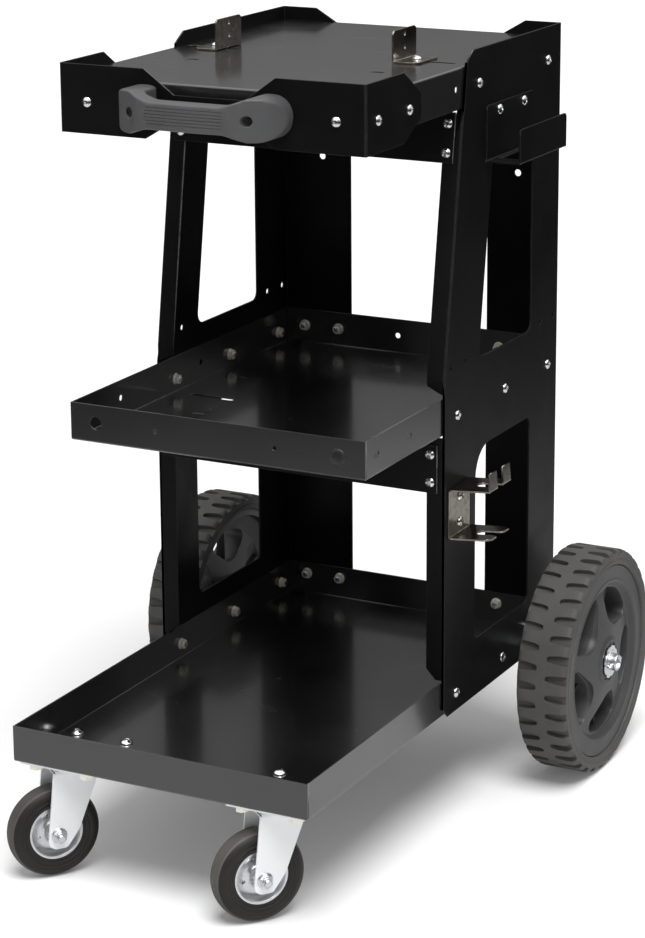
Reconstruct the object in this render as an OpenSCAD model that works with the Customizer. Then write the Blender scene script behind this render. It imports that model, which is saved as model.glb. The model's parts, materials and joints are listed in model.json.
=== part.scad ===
/* [Shelves] */
// Outside width of the trays and the top plate
shelf_w = 350; // [340:1:365]
// Outside depth of the bottom tray, front to back
bottom_depth = 618; // [600:1:645]
// How far the middle tray starts behind the bottom tray's front
middle_setback = 130; // [115:1:140]
// How far the front bracket starts behind the bottom tray's front
bracket_setback = 131; // [120:1:140]
// Sheet thickness of the trays and the top plate
tray_sheet = 1.5; // [1.2:0.1:1.8]
// Height of the bottom tray's rim
bottom_rim = 40; // [38:1:44]
// Height of the middle tray's rim
middle_rim = 42; // [38:1:44]
// Height of the top plate's turned-down rim
top_rim = 44; // [42:1:46]

/* [Heights] */
// Underside of the bottom tray above the floor
under_tray = 131; // [128:0.5:136]
// Top of the middle tray's rim above the bottom tray's underside
middle_top = 361; // [350:1:370]
// Top surface of the top plate above the bottom tray's underside
plate_top = 709; // [700:1:722]

/* [Side panels] */
// Sheet thickness of the panels, bracket and crossbars
panel_sheet = 2; // [1.5:0.1:2.5]
// Distance from the bottom tray's front to the panels' front fold
panel_front = 314; // [306:1:320]
// How far the panels reach below the bottom tray
panel_drop = 3; // [0:0.5:6]
// How far the panels stand above the top plate
panel_rise = 15; // [10:1:20]
// Lean of the panels' upper front edge in degrees
front_lean = 8.9; // [8:0.1:9.8]
// Height of the bend above the middle tray's rim
bend_above_tray = 20; // [16:1:24]
// Width of the narrow front flange
front_flange = 21; // [19:1:24]
// Width of the wide rear flange
rear_flange = 88.5; // [80:0.5:95]
// Front edge of both cut-outs behind the panels' front fold
cutout_front = 81; // [75:1:88]
// Rear edge of both cut-outs behind the panels' front fold
cutout_rear = 229; // [215:1:235]

/* [Crossbars] */
// Height of each crossbar's face
bar_h = 54; // [50:1:58]
// How far each crossbar ends inside the trays' sides
bar_inset = 6; // [3:1:10]
// Distance of the crossbars' screws inside the trays' sides
bar_screw_inset = 14; // [13:0.5:15]
// Distance between the two screws at each end
bar_screw_gap = 31; // [28:1:34]

/* [Front bracket and handle] */
// Height of the front bracket
bracket_h = 72; // [70:1:76]
// Top of the front bracket above the top plate
bracket_rise = 13.5; // [12:0.5:15]
// Length of the bracket's wings, front to back
wing_len = 124; // [115:1:135]
// Width of the handle over its feet
handle_w = 194; // [190:2:198]
// Height of the handle's feet
handle_h = 44; // [40:1:46]
// How far the handle stands out from the bracket
handle_reach = 53; // [48:1:60]
// Thickness of the grip, front to back
grip_t = 23; // [20:1:26]
// Half the distance between the handle's screws
handle_screw_x = 67; // [66:0.5:69]

/* [Hook and torch holder] */
// Length of the cable hook
hook_len = 126; // [110:1:130]
// Inside width of the cable hook
hook_gap = 37; // [30:1:42]
// Height of the hook's outer lip
hook_lip = 38; // [30:1:44]
// Height of the hook's back plate
hook_back = 61; // [58:1:64]
// Width of the torch holder
holder_w = 54; // [48:1:58]
// Height of the torch holder
holder_h = 56; // [52:1:60]
// How far the holder's arms stand out
holder_reach = 51; // [44:1:54]
// Width of the slot between the prongs
holder_slot = 15; // [12:1:18]

/* [Retaining angles] */
// Length of each retaining angle
angle_len = 56; // [50:1:60]
// Height of each retaining angle
angle_h = 34; // [30:1:38]
// Width of each angle's foot
angle_foot = 30; // [27:1:32]
// Middle of the left angle's upright plate, left of the centre
left_angle_x = 115; // [110:1:120]
// Middle of the right angle's upright plate, right of the centre
right_angle_x = 97; // [94:1:104]
// Length of the long slots in the top plate
long_slot = 66; // [60:1:70]

/* [Swivel casters] */
// Diameter of the caster wheels
caster_d = 100; // [98:1:102]
// Width of the caster tyres
caster_w = 28; // [24:1:30]
// Distance of each swivel axis inside the bottom tray's side
caster_inset = 51; // [49:1:55]
// Distance of the swivel axes behind the bottom tray's front
caster_y = 53; // [51:1:58]
// Distance from the swivel axis to the wheel's axis
caster_trail = 35; // [32:1:38]
// Swivel angle of the casters at rest, in degrees
caster_turn = -38; // [-45:1:-30]
// Radius of the caster wheels' axle bolt
caster_axle_r = 4; // [3.5:0.1:4.5]

/* [Rear wheels] */
// Diameter of the rear wheels
rear_d = 260; // [254:1:266]
// Width of the rear tyres
rear_w = 60; // [54:1:64]
// Distance of the rear axis behind the bottom tray's front
rear_y = 561; // [553:1:566]
// Distance of the rear wheels' middle outside the panels
rear_standoff = 64; // [61:1:69]
// Radius of the stub axles
stub_r = 10; // [9:0.5:11]
// Radial clearance of every wheel on its axle
run_gap = 0.08; // [0.05:0.01:0.1]

/* [Fasteners] */
// Shank radius of the small screws
screw_r = 3; // [2.5:0.1:3.2]
// Radial clearance of the screw holes
hole_gap = 0.3; // [0.2:0.05:0.5]

/* [Hidden] */
$fn = 48;

black = [0.035, 0.035, 0.04];
zinc = [0.78, 0.79, 0.8];
chrome = [0.88, 0.88, 0.9];
grey_plastic = [0.19, 0.19, 0.2];
rim_plastic = [0.17, 0.17, 0.18];
rubber = [0.05, 0.048, 0.046];

half = shelf_w / 2;
outer = half + panel_sheet;
bar_half = half - bar_inset;
bar_screw_x = half - bar_screw_inset;
caster_x = half - caster_inset;
rear_x = outer + rear_standoff;
tray_back = bottom_depth;
z_middle = under_tray + middle_top - middle_rim;
z_middle_top = under_tray + middle_top;
z_plate = under_tray + plate_top;
z_panel_low = under_tray - panel_drop;
z_panel_top = z_plate + panel_rise;
z_bend = z_middle_top + bend_above_tray;
hole_r = screw_r + hole_gap;
plate_front = bracket_setback + panel_sheet;
// half the whole length: the rear wheels' back edge to the turned casters' front edge
caster_front = caster_y - (caster_trail + caster_d / 2 - 1) * cos(caster_turn)
    + (caster_w / 2 - 5.5) * sin(caster_turn);
mid_y = (rear_y + rear_d / 2 + caster_front) / 2;

corner_cut = 11;
side_y = [for (y = [33, 158, 277]) panel_front + y];
top_side_y = [for (y = [84, 268]) panel_front + y];
front_hole_y = panel_front + 30;
rear_screw_x = [25 - half, 70 - half, half - 70, half - 25];
z_low_screws = under_tray + 18;
z_mid_screws = z_middle + 16;
z_rim_holes = z_middle + 22;
z_top_screws = z_plate - 22;
spare_y = [for (y = [17, 53, 255, 292]) panel_front + y];
z_spare = z_middle_top + 29;
z_bracket = z_plate + bracket_rise - bracket_h;
z_bracket_screw = z_bracket + 33;
front_screw_x = half - 31;
wing_screw_y = [26, 97];
z_handle = z_plate - 24;
lean_len = (z_plate - top_rim - 3 - z_bend) / cos(front_lean);
upper_bar_low = lean_len - bar_h - 1.2;
lower_bar_low = z_middle - 64;
hook_y = panel_front + 100;
z_hook = z_plate - 110;
hook_screw_y = [33, 98];
hook_screw_z = 53;
holder_y = panel_front + 8;
z_holder = z_middle - 117;
holder_screw_z = [13, 42];
holder_screw_y = 29;
holder_lift = 5;
prong_l = 20;
prong_lip = 21;
slot_y = plate_front + 245;
slot_r = 3.6;
left_slot_x = 42 - half;
right_slot_x = half - 50;
small_slot_x = half - 65;
small_slot_y = slot_y - 88;
slide_gap = 0.2;
plug_x = half - 31;
rivet_hole_r = 2.6;

plate_t = 2.5;
plate_w = 90;
plate_len = 100;
bolt_dx = 31;
bolt_dy = 40;
caster_bolt_r = 4;
caster_bolt_l = 10.6;
caster_nut_h = 6.2;
race_h = 7;
fork_t = 2.5;
kingpin_r = 6;
z_crown = under_tray - plate_t - race_h - 0.3 - fork_t;
fork_gap = caster_w / 2 + 3.5;
bush_r = caster_axle_r + 2;
caster_rim_r = 29.5;
caster_edge_r = 4;

rear_rim_r = rear_d / 2 - 18;
hub_half = 32;
web_front = 20;
web_back = -8;
barrel_t = 8;
stub_plate_t = 5;
stub_plate_w = 46;
stub_end = rear_x + hub_half + 11;
z_pin = stub_end - 4;
washer_t = 2.5;
pin_r = 1.6;

// points of an outline whose corners are rounded to the given radii
function unit(v) = v / norm(v);
function corner(a, b, c, r) = r == 0 ? [b] :
    let (u = unit(a - b), v = unit(c - b), h = acos(u * v) / 2, m = b + unit(u + v) * r / sin(h),
        s = b + u * r / tan(h) - m, e = b + v * r / tan(h) - m, s0 = atan2(s.y, s.x),
        d0 = atan2(e.y, e.x) - s0, d = d0 > 180 ? d0 - 360 : d0 < -180 ? d0 + 360 : d0)
    [for (i = [0:6]) m + r * [cos(s0 + d * i / 6), sin(s0 + d * i / 6)]];
function rounded(p, r) = [for (i = [0:len(p) - 1])
    each corner(p[(i + len(p) - 1) % len(p)], p[i], p[(i + 1) % len(p)], r[i])];

module placed() { translate([0, -mid_y, 0]) children(); }
// a flat outline in Y and Z, as thick as t towards +X
module side_sheet(t) { rotate([90, 0, 90]) linear_extrude(t) children(); }
// a flat outline in X and Z, as thick as t towards +Y
module front_sheet(t) { translate([0, t, 0]) rotate([90, 0, 0]) linear_extrude(t) children(); }
module mirrored(s) { mirror([s < 0 ? 1 : 0, 0, 0]) children(); }
// the leaning plane of the upper front flange: local Z runs up along it
module on_lean() { translate([0, panel_front, z_bend]) rotate([-front_lean, 0, 0]) children(); }
module across_x(x, y, z, r, l) { translate([x, y, z]) rotate([0, 90, 0]) cylinder(r = r, h = l, center =
    true); }
module across_y(x, y, z, r, l) { translate([x, y, z]) rotate([90, 0, 0]) cylinder(r = r, h = l, center =
    true); }
// a flat round-ended slot along X
module slot(x, y, l, r) {
    translate([x, y]) union() {
        square([l - 2 * r, 2 * r], center = true);
        for (s = [-1, 1]) translate([s * (l / 2 - r), 0]) circle(r = r);
    }
}

// button-head screw: head above Z = 0, shank below
module button_screw(l) {
    difference() {
        union() {
            rotate_extrude() polygon([[0, 0], [5.6, 0], [5.6, 0.7], [5.1, 1.8], [4.1, 2.7], [2.9, 3.2],
                [0, 3.4]]);
            translate([0, 0, -l]) cylinder(r = screw_r, h = l + 0.1);
        }
        translate([0, 0, 1.6]) cylinder(r = 2.1, h = 3, $fn = 6);
    }
}
// flanged hexagon nut standing on Z = 0
module flange_nut(r = screw_r, h = 5.6) {
    difference() {
        union() {
            rotate_extrude() polygon([[0, 0], [r * 2.2, 0], [r * 2.2, 0.9], [r * 1.7, 1.8], [0, 1.8]]);
            cylinder(r = r * 1.92, h = h, $fn = 6);
        }
        translate([0, 0, -1]) cylinder(r = r + 0.06, h = h + 2);
    }
}

// an open tray: floor below, rim up
module tray(y0, y1, h) {
    difference() {
        translate([-half, y0, 0]) cube([shelf_w, y1 - y0, h]);
        translate([-half + tray_sheet, y0 + tray_sheet, tray_sheet])
            cube([shelf_w - 2 * tray_sheet, y1 - y0 - 2 * tray_sheet, h]);
    }
}

module bottom_tray() {
    color(black) placed() difference() {
        translate([0, 0, under_tray]) tray(0, tray_back, bottom_rim);
        for (s = [-1, 1], y = side_y) across_x(s * half, y, z_low_screws, hole_r, 8);
        for (x = rear_screw_x) across_y(x, tray_back, z_low_screws + 8, hole_r, 8);
        for (s = [-1, 1], i = [-1, 1], j = [-1, 1])
            translate([s * caster_x + i * bolt_dx, caster_y + j * bolt_dy, under_tray - 1])
                cylinder(r = caster_bolt_r + hole_gap, h = 5);
    }
}

module middle_tray() {
    color(black) placed() difference() {
        translate([0, 0, z_middle]) tray(middle_setback, tray_back, middle_rim);
        for (s = [-1, 1], y = side_y) across_x(s * half, y, z_mid_screws, hole_r, 8);
        for (x = rear_screw_x) across_y(x, tray_back, z_mid_screws + 6, hole_r, 8);
        across_y(-26, tray_back, z_mid_screws + 6, hole_r, 8);
        for (x = [-plug_x, plug_x]) across_y(x, middle_setback, z_rim_holes, 7, 8);
        for (x = [-71, 71]) across_y(x, middle_setback, z_rim_holes, rivet_hole_r, 8);
        for (y = [100, 275]) across_x(-half, middle_setback + y, z_rim_holes, hole_r, 8);
        for (y = [26, 102]) translate([half - 4, middle_setback + y, z_rim_holes])
            side_sheet(8) slot(0, 0, 13, hole_r);
        translate([0, 0, z_middle - 1]) linear_extrude(4) {
            slot(-124, middle_setback + 213, 56, 4);
            slot(-103, middle_setback + 145, 14, 3);
        }
    }
}

module top_plate() {
    color(black) placed() difference() {
        translate([0, 0, z_plate]) mirror([0, 0, 1]) tray(plate_front, tray_back, top_rim);
        for (s = [-1, 1], y = top_side_y) across_x(s * half, y, z_top_screws, hole_r, 8);
        for (s = [-1, 1]) across_x(s * half, front_hole_y, z_top_screws, hole_r, 8);
        for (x = rear_screw_x) across_y(x, tray_back, z_top_screws, hole_r, 8);
        for (s = [-1, 1], y = wing_screw_y) across_x(s * half, bracket_setback + y, z_bracket_screw,
            hole_r, 8);
        for (s = [-1, 1]) across_y(s * front_screw_x, plate_front, z_bracket_screw, hole_r, 8);
        for (s = [-1, 1]) across_y(s * handle_screw_x, plate_front, z_handle, 8, 8);
        translate([0, 0, z_plate - 4]) linear_extrude(8) {
            slot(left_slot_x, slot_y, long_slot, slot_r);
            slot(right_slot_x, slot_y, long_slot, slot_r);
            for (s = [-1, 1]) slot(s * small_slot_x, small_slot_y, 16, slot_r);
        }
    }
}

// one side panel for the +X side, in shelf coordinates
module panel_body() {
    lean = tan(front_lean);
    top_front = panel_front + (z_panel_top - z_bend - corner_cut) * lean;
    difference() {
        translate([half, 0, 0]) side_sheet(panel_sheet) difference() {
            polygon([[panel_front + corner_cut, z_panel_low], [tray_back + panel_sheet, z_panel_low],
                [tray_back + panel_sheet, z_panel_top], [top_front + 17, z_panel_top],
                [top_front, z_panel_top - corner_cut], [panel_front, z_bend],
                [panel_front, z_panel_low + corner_cut]]);
            polygon(rounded([[panel_front + cutout_front + 6, z_spare - 4],
                [panel_front + cutout_front + 6 + (z_hook - z_spare + 4) * lean, z_hook],
                [panel_front + cutout_rear, z_hook], [panel_front + cutout_rear, z_spare - 4]], [12, 10,
                    10, 10]));
            polygon(rounded([[panel_front + cutout_front, under_tray + 64],
                [panel_front + cutout_front, lower_bar_low + 30], [panel_front + cutout_rear,
                    lower_bar_low + 30],
                [panel_front + cutout_rear, under_tray + 64]], [8, 35, 8, 8]));
        }
        for (y = side_y) {
            across_x(outer, y, z_low_screws, hole_r, 12);
            across_x(outer, y, z_mid_screws, hole_r, 12);
        }
        for (y = top_side_y) across_x(outer, y, z_top_screws, hole_r, 12);
        for (y = spare_y) across_x(outer, y, z_spare, hole_r, 12);
        across_x(outer, front_hole_y, lower_bar_low - 36, hole_r, 12);
    }
    // the narrow front flange, upright below the middle tray
    difference() {
        translate([0, panel_front, 0]) front_sheet(panel_sheet)
            polygon([[half, under_tray + bottom_rim + 2], [half - 8, under_tray + bottom_rim + 2],
                [outer - front_flange, under_tray + bottom_rim + 14], [outer - front_flange, z_middle - 2],
                [half, z_middle - 2]]);
        for (z = [12, 12 + bar_screw_gap]) across_y(bar_screw_x, panel_front, lower_bar_low + z, hole_r, 8);
    }
    // the same flange above it, upright to the bend and leaning back from there
    translate([0, panel_front, 0]) front_sheet(panel_sheet)
        polygon([[half, z_middle_top + 3], [outer - front_flange, z_middle_top + 12],
            [outer - front_flange, z_bend], [half, z_bend]]);
    on_lean() difference() {
        front_sheet(panel_sheet)
            polygon([[half, 0], [outer - front_flange, 0], [outer - front_flange, lean_len - 11],
                [half, lean_len]]);
        for (z = [11, 11 + bar_screw_gap]) across_y(bar_screw_x, 0, upper_bar_low + z, hole_r, 8);
    }
    // the wide rear flange
    difference() {
        translate([0, tray_back, 0]) front_sheet(panel_sheet)
            polygon([[half, under_tray], [outer - rear_flange, under_tray], [outer - rear_flange, z_plate
                - 11],
                [half - 42, z_panel_top], [half, z_panel_top]]);
        for (x = [rear_screw_x[2], rear_screw_x[3]]) {
            across_y(x, tray_back, z_low_screws + 8, hole_r, 12);
            across_y(x, tray_back, z_mid_screws + 6, hole_r, 12);
            across_y(x, tray_back, z_top_screws, hole_r, 12);
        }
        across_y(126, tray_back, z_hook - 50, hole_r + 0.7, 12);
    }
}

module left_panel() { color(black) placed() mirrored(-1) panel_body(); }
module right_panel() {
    color(black) placed() difference() {
        panel_body();
        for (y = hook_screw_y) across_x(outer, hook_y + y, z_hook + hook_screw_z, hole_r, 12);
        for (z = holder_screw_z) across_x(outer, holder_y + holder_screw_y, z_holder + z, hole_r, 12);
    }
}

module front_bracket() {
    z1 = z_bracket + bracket_h;
    color(black) placed() difference() {
        union() {
            translate([0, bracket_setback, 0]) front_sheet(panel_sheet)
                polygon([[-outer, z_bracket], [-75, z_bracket], [-53, z_bracket + 13], [53, z_bracket + 13],
                    [75, z_bracket], [outer, z_bracket], [outer, z1], [76, z1], [41, z1 - 25], [-41, z1 -
                        25],
                    [-76, z1], [-outer, z1]]);
            for (s = [-1, 1]) mirrored(s) translate([half, bracket_setback, 0]) side_sheet(panel_sheet)
                polygon([[0, z_bracket], [wing_len - 40, z_bracket], [wing_len, z_bracket + 21],
                    [wing_len, z1 - 25], [wing_len - 39, z1], [0, z1]]);
        }
        for (s = [-1, 1], y = wing_screw_y) across_x(s * half, bracket_setback + y, z_bracket_screw,
            hole_r, 12);
        for (s = [-1, 1]) {
            across_y(s * front_screw_x, bracket_setback, z_bracket_screw, hole_r, 12);
            across_y(s * handle_screw_x, bracket_setback, z_handle, hole_r, 12);
        }
    }
}

// the bow handle: a plan outline and a front outline that meet
module handle() {
    w = handle_w / 2;
    y0 = bracket_setback;
    f = y0 - handle_reach;
    color(grey_plastic) placed() difference() {
        intersection() {
            translate([0, 0, z_handle - handle_h / 2]) linear_extrude(handle_h) difference() {
                polygon(rounded([[w, y0], [w, y0 - 13], [w - 12, f + 19], [w - 42, f + 1.5], [0, f],
                    [42 - w, f + 1.5], [12 - w, f + 19], [-w, y0 - 13], [-w, y0]],
                    [0, 14, 20, 24, 0, 24, 20, 14, 0]));
                polygon(rounded([[w - 37, y0 + 1], [w - 37, f + grip_t + 6], [w - 44, f + grip_t],
                    [44 - w, f + grip_t], [37 - w, f + grip_t + 6], [37 - w, y0 + 1]],
                    [0, 7, 10, 10, 7, 0]));
            }
            translate([0, f - 5, z_handle]) front_sheet(handle_reach + 6)
                polygon(rounded([[-w, -22], [30 - w, -22], [-46, -15], [46, -15], [w - 30, -22], [w, -22],
                    [w, 22], [w - 30, 22], [42, 13], [-42, 13], [30 - w, 22], [-w, 22]],
                    [21, 16, 30, 30, 16, 21, 21, 16, 30, 30, 16, 21]));
        }
        for (s = [-1, 1]) {
            across_y(s * handle_screw_x, f, z_handle, 4.6, 36);
            across_y(s * handle_screw_x, y0 - 20, z_handle, 2.8, 50);
        }
    }
}
handle_seat = bracket_setback - handle_reach + 18;
module handle_screws() {
    color(chrome) placed() for (s = [-1, 1]) translate([s * handle_screw_x, handle_seat, z_handle])
        rotate([90, 0, 0]) difference() {
            union() {
                rotate_extrude() polygon([[0, 0], [4.3, 0], [4.3, 1.2], [3, 2.2], [0, 2.4]]);
                translate([0, 0, -handle_reach + 8]) cylinder(r = 2.5, h = handle_reach - 7.9);
            }
            translate([0, 0, 1.2]) for (a = [0, 90]) rotate([0, 0, a]) cube([4, 0.9, 3], center = true);
        }
}
module handle_nuts() {
    color(zinc) placed() for (s = [-1, 1]) translate([s * handle_screw_x, plate_front, z_handle])
        rotate([-90, 0, 0]) flange_nut(2.5, 4.8);
}

module bracket_screws() {
    color(chrome) placed() {
        for (s = [-1, 1], y = wing_screw_y)
            translate([s * outer, bracket_setback + y, z_bracket_screw]) rotate([0, s * 90, 0])
                button_screw(12);
        for (s = [-1, 1]) translate([s * front_screw_x, bracket_setback, z_bracket_screw])
            rotate([90, 0, 0]) button_screw(12);
    }
}
module bracket_nuts() {
    color(zinc) placed() {
        for (s = [-1, 1], y = wing_screw_y) translate([s * (half - tray_sheet), bracket_setback + y,
            z_bracket_screw])
            rotate([0, -s * 90, 0]) flange_nut();
        for (s = [-1, 1]) translate([s * front_screw_x, plate_front + tray_sheet, z_bracket_screw])
            rotate([-90, 0, 0]) flange_nut();
    }
}

module crossbar_plate(low, first) {
    difference() {
        translate([0, -panel_sheet, low]) front_sheet(panel_sheet)
            polygon([[-bar_half, 0], [bar_half, 0], [bar_half, bar_h], [-bar_half, bar_h]]);
        for (s = [-1, 1], z = [first, first + bar_screw_gap]) across_y(s * bar_screw_x, 0, low + z,
            hole_r, 10);
    }
}
module upper_crossbar() { color(black) placed() on_lean() crossbar_plate(upper_bar_low, 11); }
module lower_crossbar() { color(black) placed() translate([0, panel_front, 0])
    crossbar_plate(lower_bar_low, 12); }
module bar_fixings(low, first) {
    for (s = [-1, 1], z = [first, first + bar_screw_gap]) translate([s * bar_screw_x, 0, low + z])
        children();
}
module crossbar_screws() {
    color(chrome) placed() {
        on_lean() bar_fixings(upper_bar_low, 11) translate([0, -panel_sheet, 0]) rotate([90, 0, 0])
            button_screw(12);
        translate([0, panel_front, 0]) bar_fixings(lower_bar_low, 12)
            translate([0, -panel_sheet, 0]) rotate([90, 0, 0]) button_screw(12);
    }
}
module crossbar_nuts() {
    color(zinc) placed() {
        on_lean() bar_fixings(upper_bar_low, 11) translate([0, panel_sheet, 0]) rotate([-90, 0, 0])
            flange_nut();
        translate([0, panel_front, 0]) bar_fixings(lower_bar_low, 12)
            translate([0, panel_sheet, 0]) rotate([-90, 0, 0]) flange_nut();
    }
}

// the screw positions on the panels' sides
module side_fixings() {
    for (s = [-1, 1]) {
        for (y = side_y, z = [z_low_screws, z_mid_screws]) translate([s * outer, y, z]) rotate([0, s *
            90, 0]) children();
        for (y = top_side_y) translate([s * outer, y, z_top_screws]) rotate([0, s * 90, 0]) children();
    }
}
// the screw positions on the rear flanges
module rear_fixings() {
    for (x = rear_screw_x, z = [z_low_screws + 8, z_mid_screws + 6, z_top_screws])
        translate([x, tray_back + panel_sheet, z]) rotate([-90, 0, 0]) children();
}
module panel_screws() {
    color(chrome) placed() {
        side_fixings() button_screw(11);
        rear_fixings() button_screw(11);
    }
}
module panel_nuts() {
    color(zinc) placed() {
        side_fixings() translate([0, 0, -panel_sheet - tray_sheet]) mirror([0, 0, 1]) flange_nut();
        rear_fixings() translate([0, 0, -panel_sheet - tray_sheet]) mirror([0, 0, 1]) flange_nut();
    }
}

module cable_hook() {
    w = hook_gap + 2 * panel_sheet;
    color(black) placed() translate([outer, hook_y, z_hook]) difference() {
        union() {
            side_sheet(panel_sheet) polygon(rounded([[0, 0], [hook_len, 0], [hook_len, hook_back], [0,
                hook_back]],
                [0, 0, 5, 5]));
            cube([w, hook_len, panel_sheet]);
            translate([w - panel_sheet, 0, 0]) side_sheet(panel_sheet)
                polygon(rounded([[0, 0], [hook_len, 0], [hook_len, hook_lip], [0, hook_lip]], [0, 0, 5,
                    5]));
        }
        translate([panel_sheet + 5, 22, -1]) cube([hook_gap - 10, hook_len - 44, panel_sheet + 2]);
        for (y = hook_screw_y) across_x(0, y, hook_screw_z, hole_r, 12);
    }
}

// one forked arm of the torch holder, flat, reaching towards +X
module holder_arm(pointed) {
    l = holder_reach;
    m = holder_w / 2;
    s = holder_slot / 2;
    tip = pointed ? 8 : 0;
    linear_extrude(panel_sheet) difference() {
        polygon([[0, 0], [l - tip, 0], [l, tip * 0.6], [l, m - s - tip * 0.4], [l - tip * 0.4, m - s],
            [l - tip * 0.4, m + s], [l, m + s + tip * 0.4], [l, holder_w - tip * 0.6], [l - tip, holder_w],
            [0, holder_w]]);
        translate([l - prong_l, m]) circle(r = s);
        translate([l - prong_l, m - s]) square([2 * prong_l, 2 * s]);
    }
}
module torch_holder() {
    l = holder_reach;
    m = holder_w / 2;
    s = holder_slot / 2;
    color(black) placed() translate([outer, holder_y, z_holder]) difference() {
        union() {
            cube([panel_sheet, holder_w, holder_h]);
            rotate([0, -holder_lift, 0]) holder_arm(true);
            translate([0, 0, holder_h - panel_sheet]) rotate([0, -holder_lift, 0]) {
                holder_arm(false);
                for (y = [0, m + s]) translate([l - panel_sheet, y, 0])
                    cube([panel_sheet, m - s, prong_lip]);
            }
        }
        translate([-10, -1, -1]) cube([10, holder_w + 2, holder_h + 9]);
        for (z = holder_screw_z) across_x(0, holder_screw_y, z, hole_r, 12);
    }
}
module accessory_fixings() {
    for (y = hook_screw_y) translate([outer, hook_y + y, z_hook + hook_screw_z])
        rotate([0, 90, 0]) children();
    for (z = holder_screw_z) translate([outer, holder_y + holder_screw_y, z_holder + z])
        rotate([0, 90, 0]) children();
}
module accessory_screws() {
    color(chrome) placed() accessory_fixings() translate([0, 0, panel_sheet]) button_screw(11);
}
module accessory_nuts() {
    color(zinc) placed() accessory_fixings() translate([0, 0, -panel_sheet]) mirror([0, 0, 1]) flange_nut();
}

module blanking_plug() {
    color(rubber) placed() translate([plug_x, middle_setback, z_rim_holes]) rotate([90, 0, 0])
        rotate_extrude() polygon([[0, -3.5], [6.9, -3.5], [6.9, 0], [9, 0], [9, 0.8], [7, 1.8], [0, 2.2]]);
}

// a retaining angle: upright plate with its foot towards +X
module angle_body() {
    z = z_plate + slide_gap;
    difference() {
        union() {
            translate([0, slot_y - angle_len / 2, z]) side_sheet(2)
                polygon(rounded([[0, 0], [angle_len, 0], [angle_len, angle_h], [0, angle_h]], [0, 0, 5,
                    5]));
            translate([0, slot_y, z]) linear_extrude(2)
                polygon([[0, -angle_len / 2], [angle_foot - 6, -angle_len / 2], [angle_foot, 6 -
                    angle_len / 2],
                    [angle_foot, angle_len / 2 - 6], [angle_foot - 6, angle_len / 2], [0, angle_len / 2]]);
        }
        for (h = [14, 28]) across_x(0, slot_y, z + h, 2.2, 12);
        translate([angle_foot / 2 + 1, slot_y, z - 1]) cylinder(r = hole_r, h = 4);
    }
}
module angle_screw() {
    translate([angle_foot / 2 + 1, slot_y, z_plate + slide_gap + 2]) button_screw(13);
}
module angle_nut() {
    translate([angle_foot / 2 + 1, slot_y, z_plate - tray_sheet - slide_gap]) mirror([0, 0, 1])
        flange_nut();
}
module left_spot() { placed() translate([-left_angle_x, 0, 0]) mirrored(-1) children(); }
module right_spot() { placed() translate([right_angle_x, 0, 0]) children(); }
module left_angle() { color(zinc) left_spot() angle_body(); }
module left_angle_screw() { color(chrome) left_spot() angle_screw(); }
module left_angle_nut() { color(zinc) left_spot() angle_nut(); }
module right_angle() { color(zinc) right_spot() angle_body(); }
module right_angle_screw() { color(chrome) right_spot() angle_screw(); }
module right_angle_nut() { color(zinc) right_spot() angle_nut(); }

// caster pieces in their own frame: swivel axis on Z, wheel trailing towards -Y
module at_caster(s, turned) {
    placed() translate([s * caster_x, caster_y, 0]) rotate([0, 0, turned ? caster_turn : 0]) children();
}
module caster_plates() {
    color(zinc) for (s = [-1, 1]) at_caster(s, false) difference() {
        translate([-plate_w / 2, -plate_len / 2, under_tray - plate_t]) cube([plate_w, plate_len, plate_t]);
        for (i = [-1, 1], j = [-1, 1]) translate([i * bolt_dx, j * bolt_dy, under_tray - plate_t - 1])
            cylinder(r = caster_bolt_r + hole_gap, h = plate_t + 2);
        translate([0, 0, under_tray - plate_t - 1]) cylinder(r = kingpin_r + 0.05, h = plate_t + 2);
    }
}
module caster_races() {
    z0 = z_crown + fork_t + 0.3;
    color(zinc) for (s = [-1, 1]) at_caster(s, false) rotate_extrude()
        polygon([[kingpin_r + 3, z0], [27, z0], [29, z0 + 2], [29, z0 + 4.5], [24, z0 + race_h],
            [kingpin_r + 3, z0 + race_h]]);
}
module kingpins() {
    color(zinc) for (s = [-1, 1]) at_caster(s, false) rotate_extrude()
        polygon([[0, z_crown - 4], [8, z_crown - 4], [11, z_crown - 2.4], [11, z_crown - 0.3],
            [kingpin_r, z_crown - 0.3], [kingpin_r, under_tray - 0.2],
            [0, under_tray - 0.2]]);
}
module caster_bolt_spots() {
    for (s = [-1, 1], i = [-1, 1], j = [-1, 1]) at_caster(s, false) translate([i * bolt_dx, j * bolt_dy,
        0]) children();
}
module caster_bolts() {
    color(chrome) caster_bolt_spots() translate([0, 0, under_tray + tray_sheet]) difference() {
        union() {
            rotate_extrude() polygon([[0, 0], [7, 0], [7, 0.9], [6.2, 2.4], [4.6, 3.6], [2.6, 4.2], [0,
                4.4]]);
            translate([0, 0, -caster_bolt_l]) cylinder(r = caster_bolt_r, h = caster_bolt_l + 0.1);
        }
        translate([0, 0, 2.2]) cylinder(r = 2.6, h = 3, $fn = 6);
    }
}
module caster_nuts() {
    color(zinc) caster_bolt_spots() translate([0, 0, under_tray - plate_t]) mirror([0, 0, 1])
        flange_nut(caster_bolt_r, caster_nut_h);
}

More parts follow.
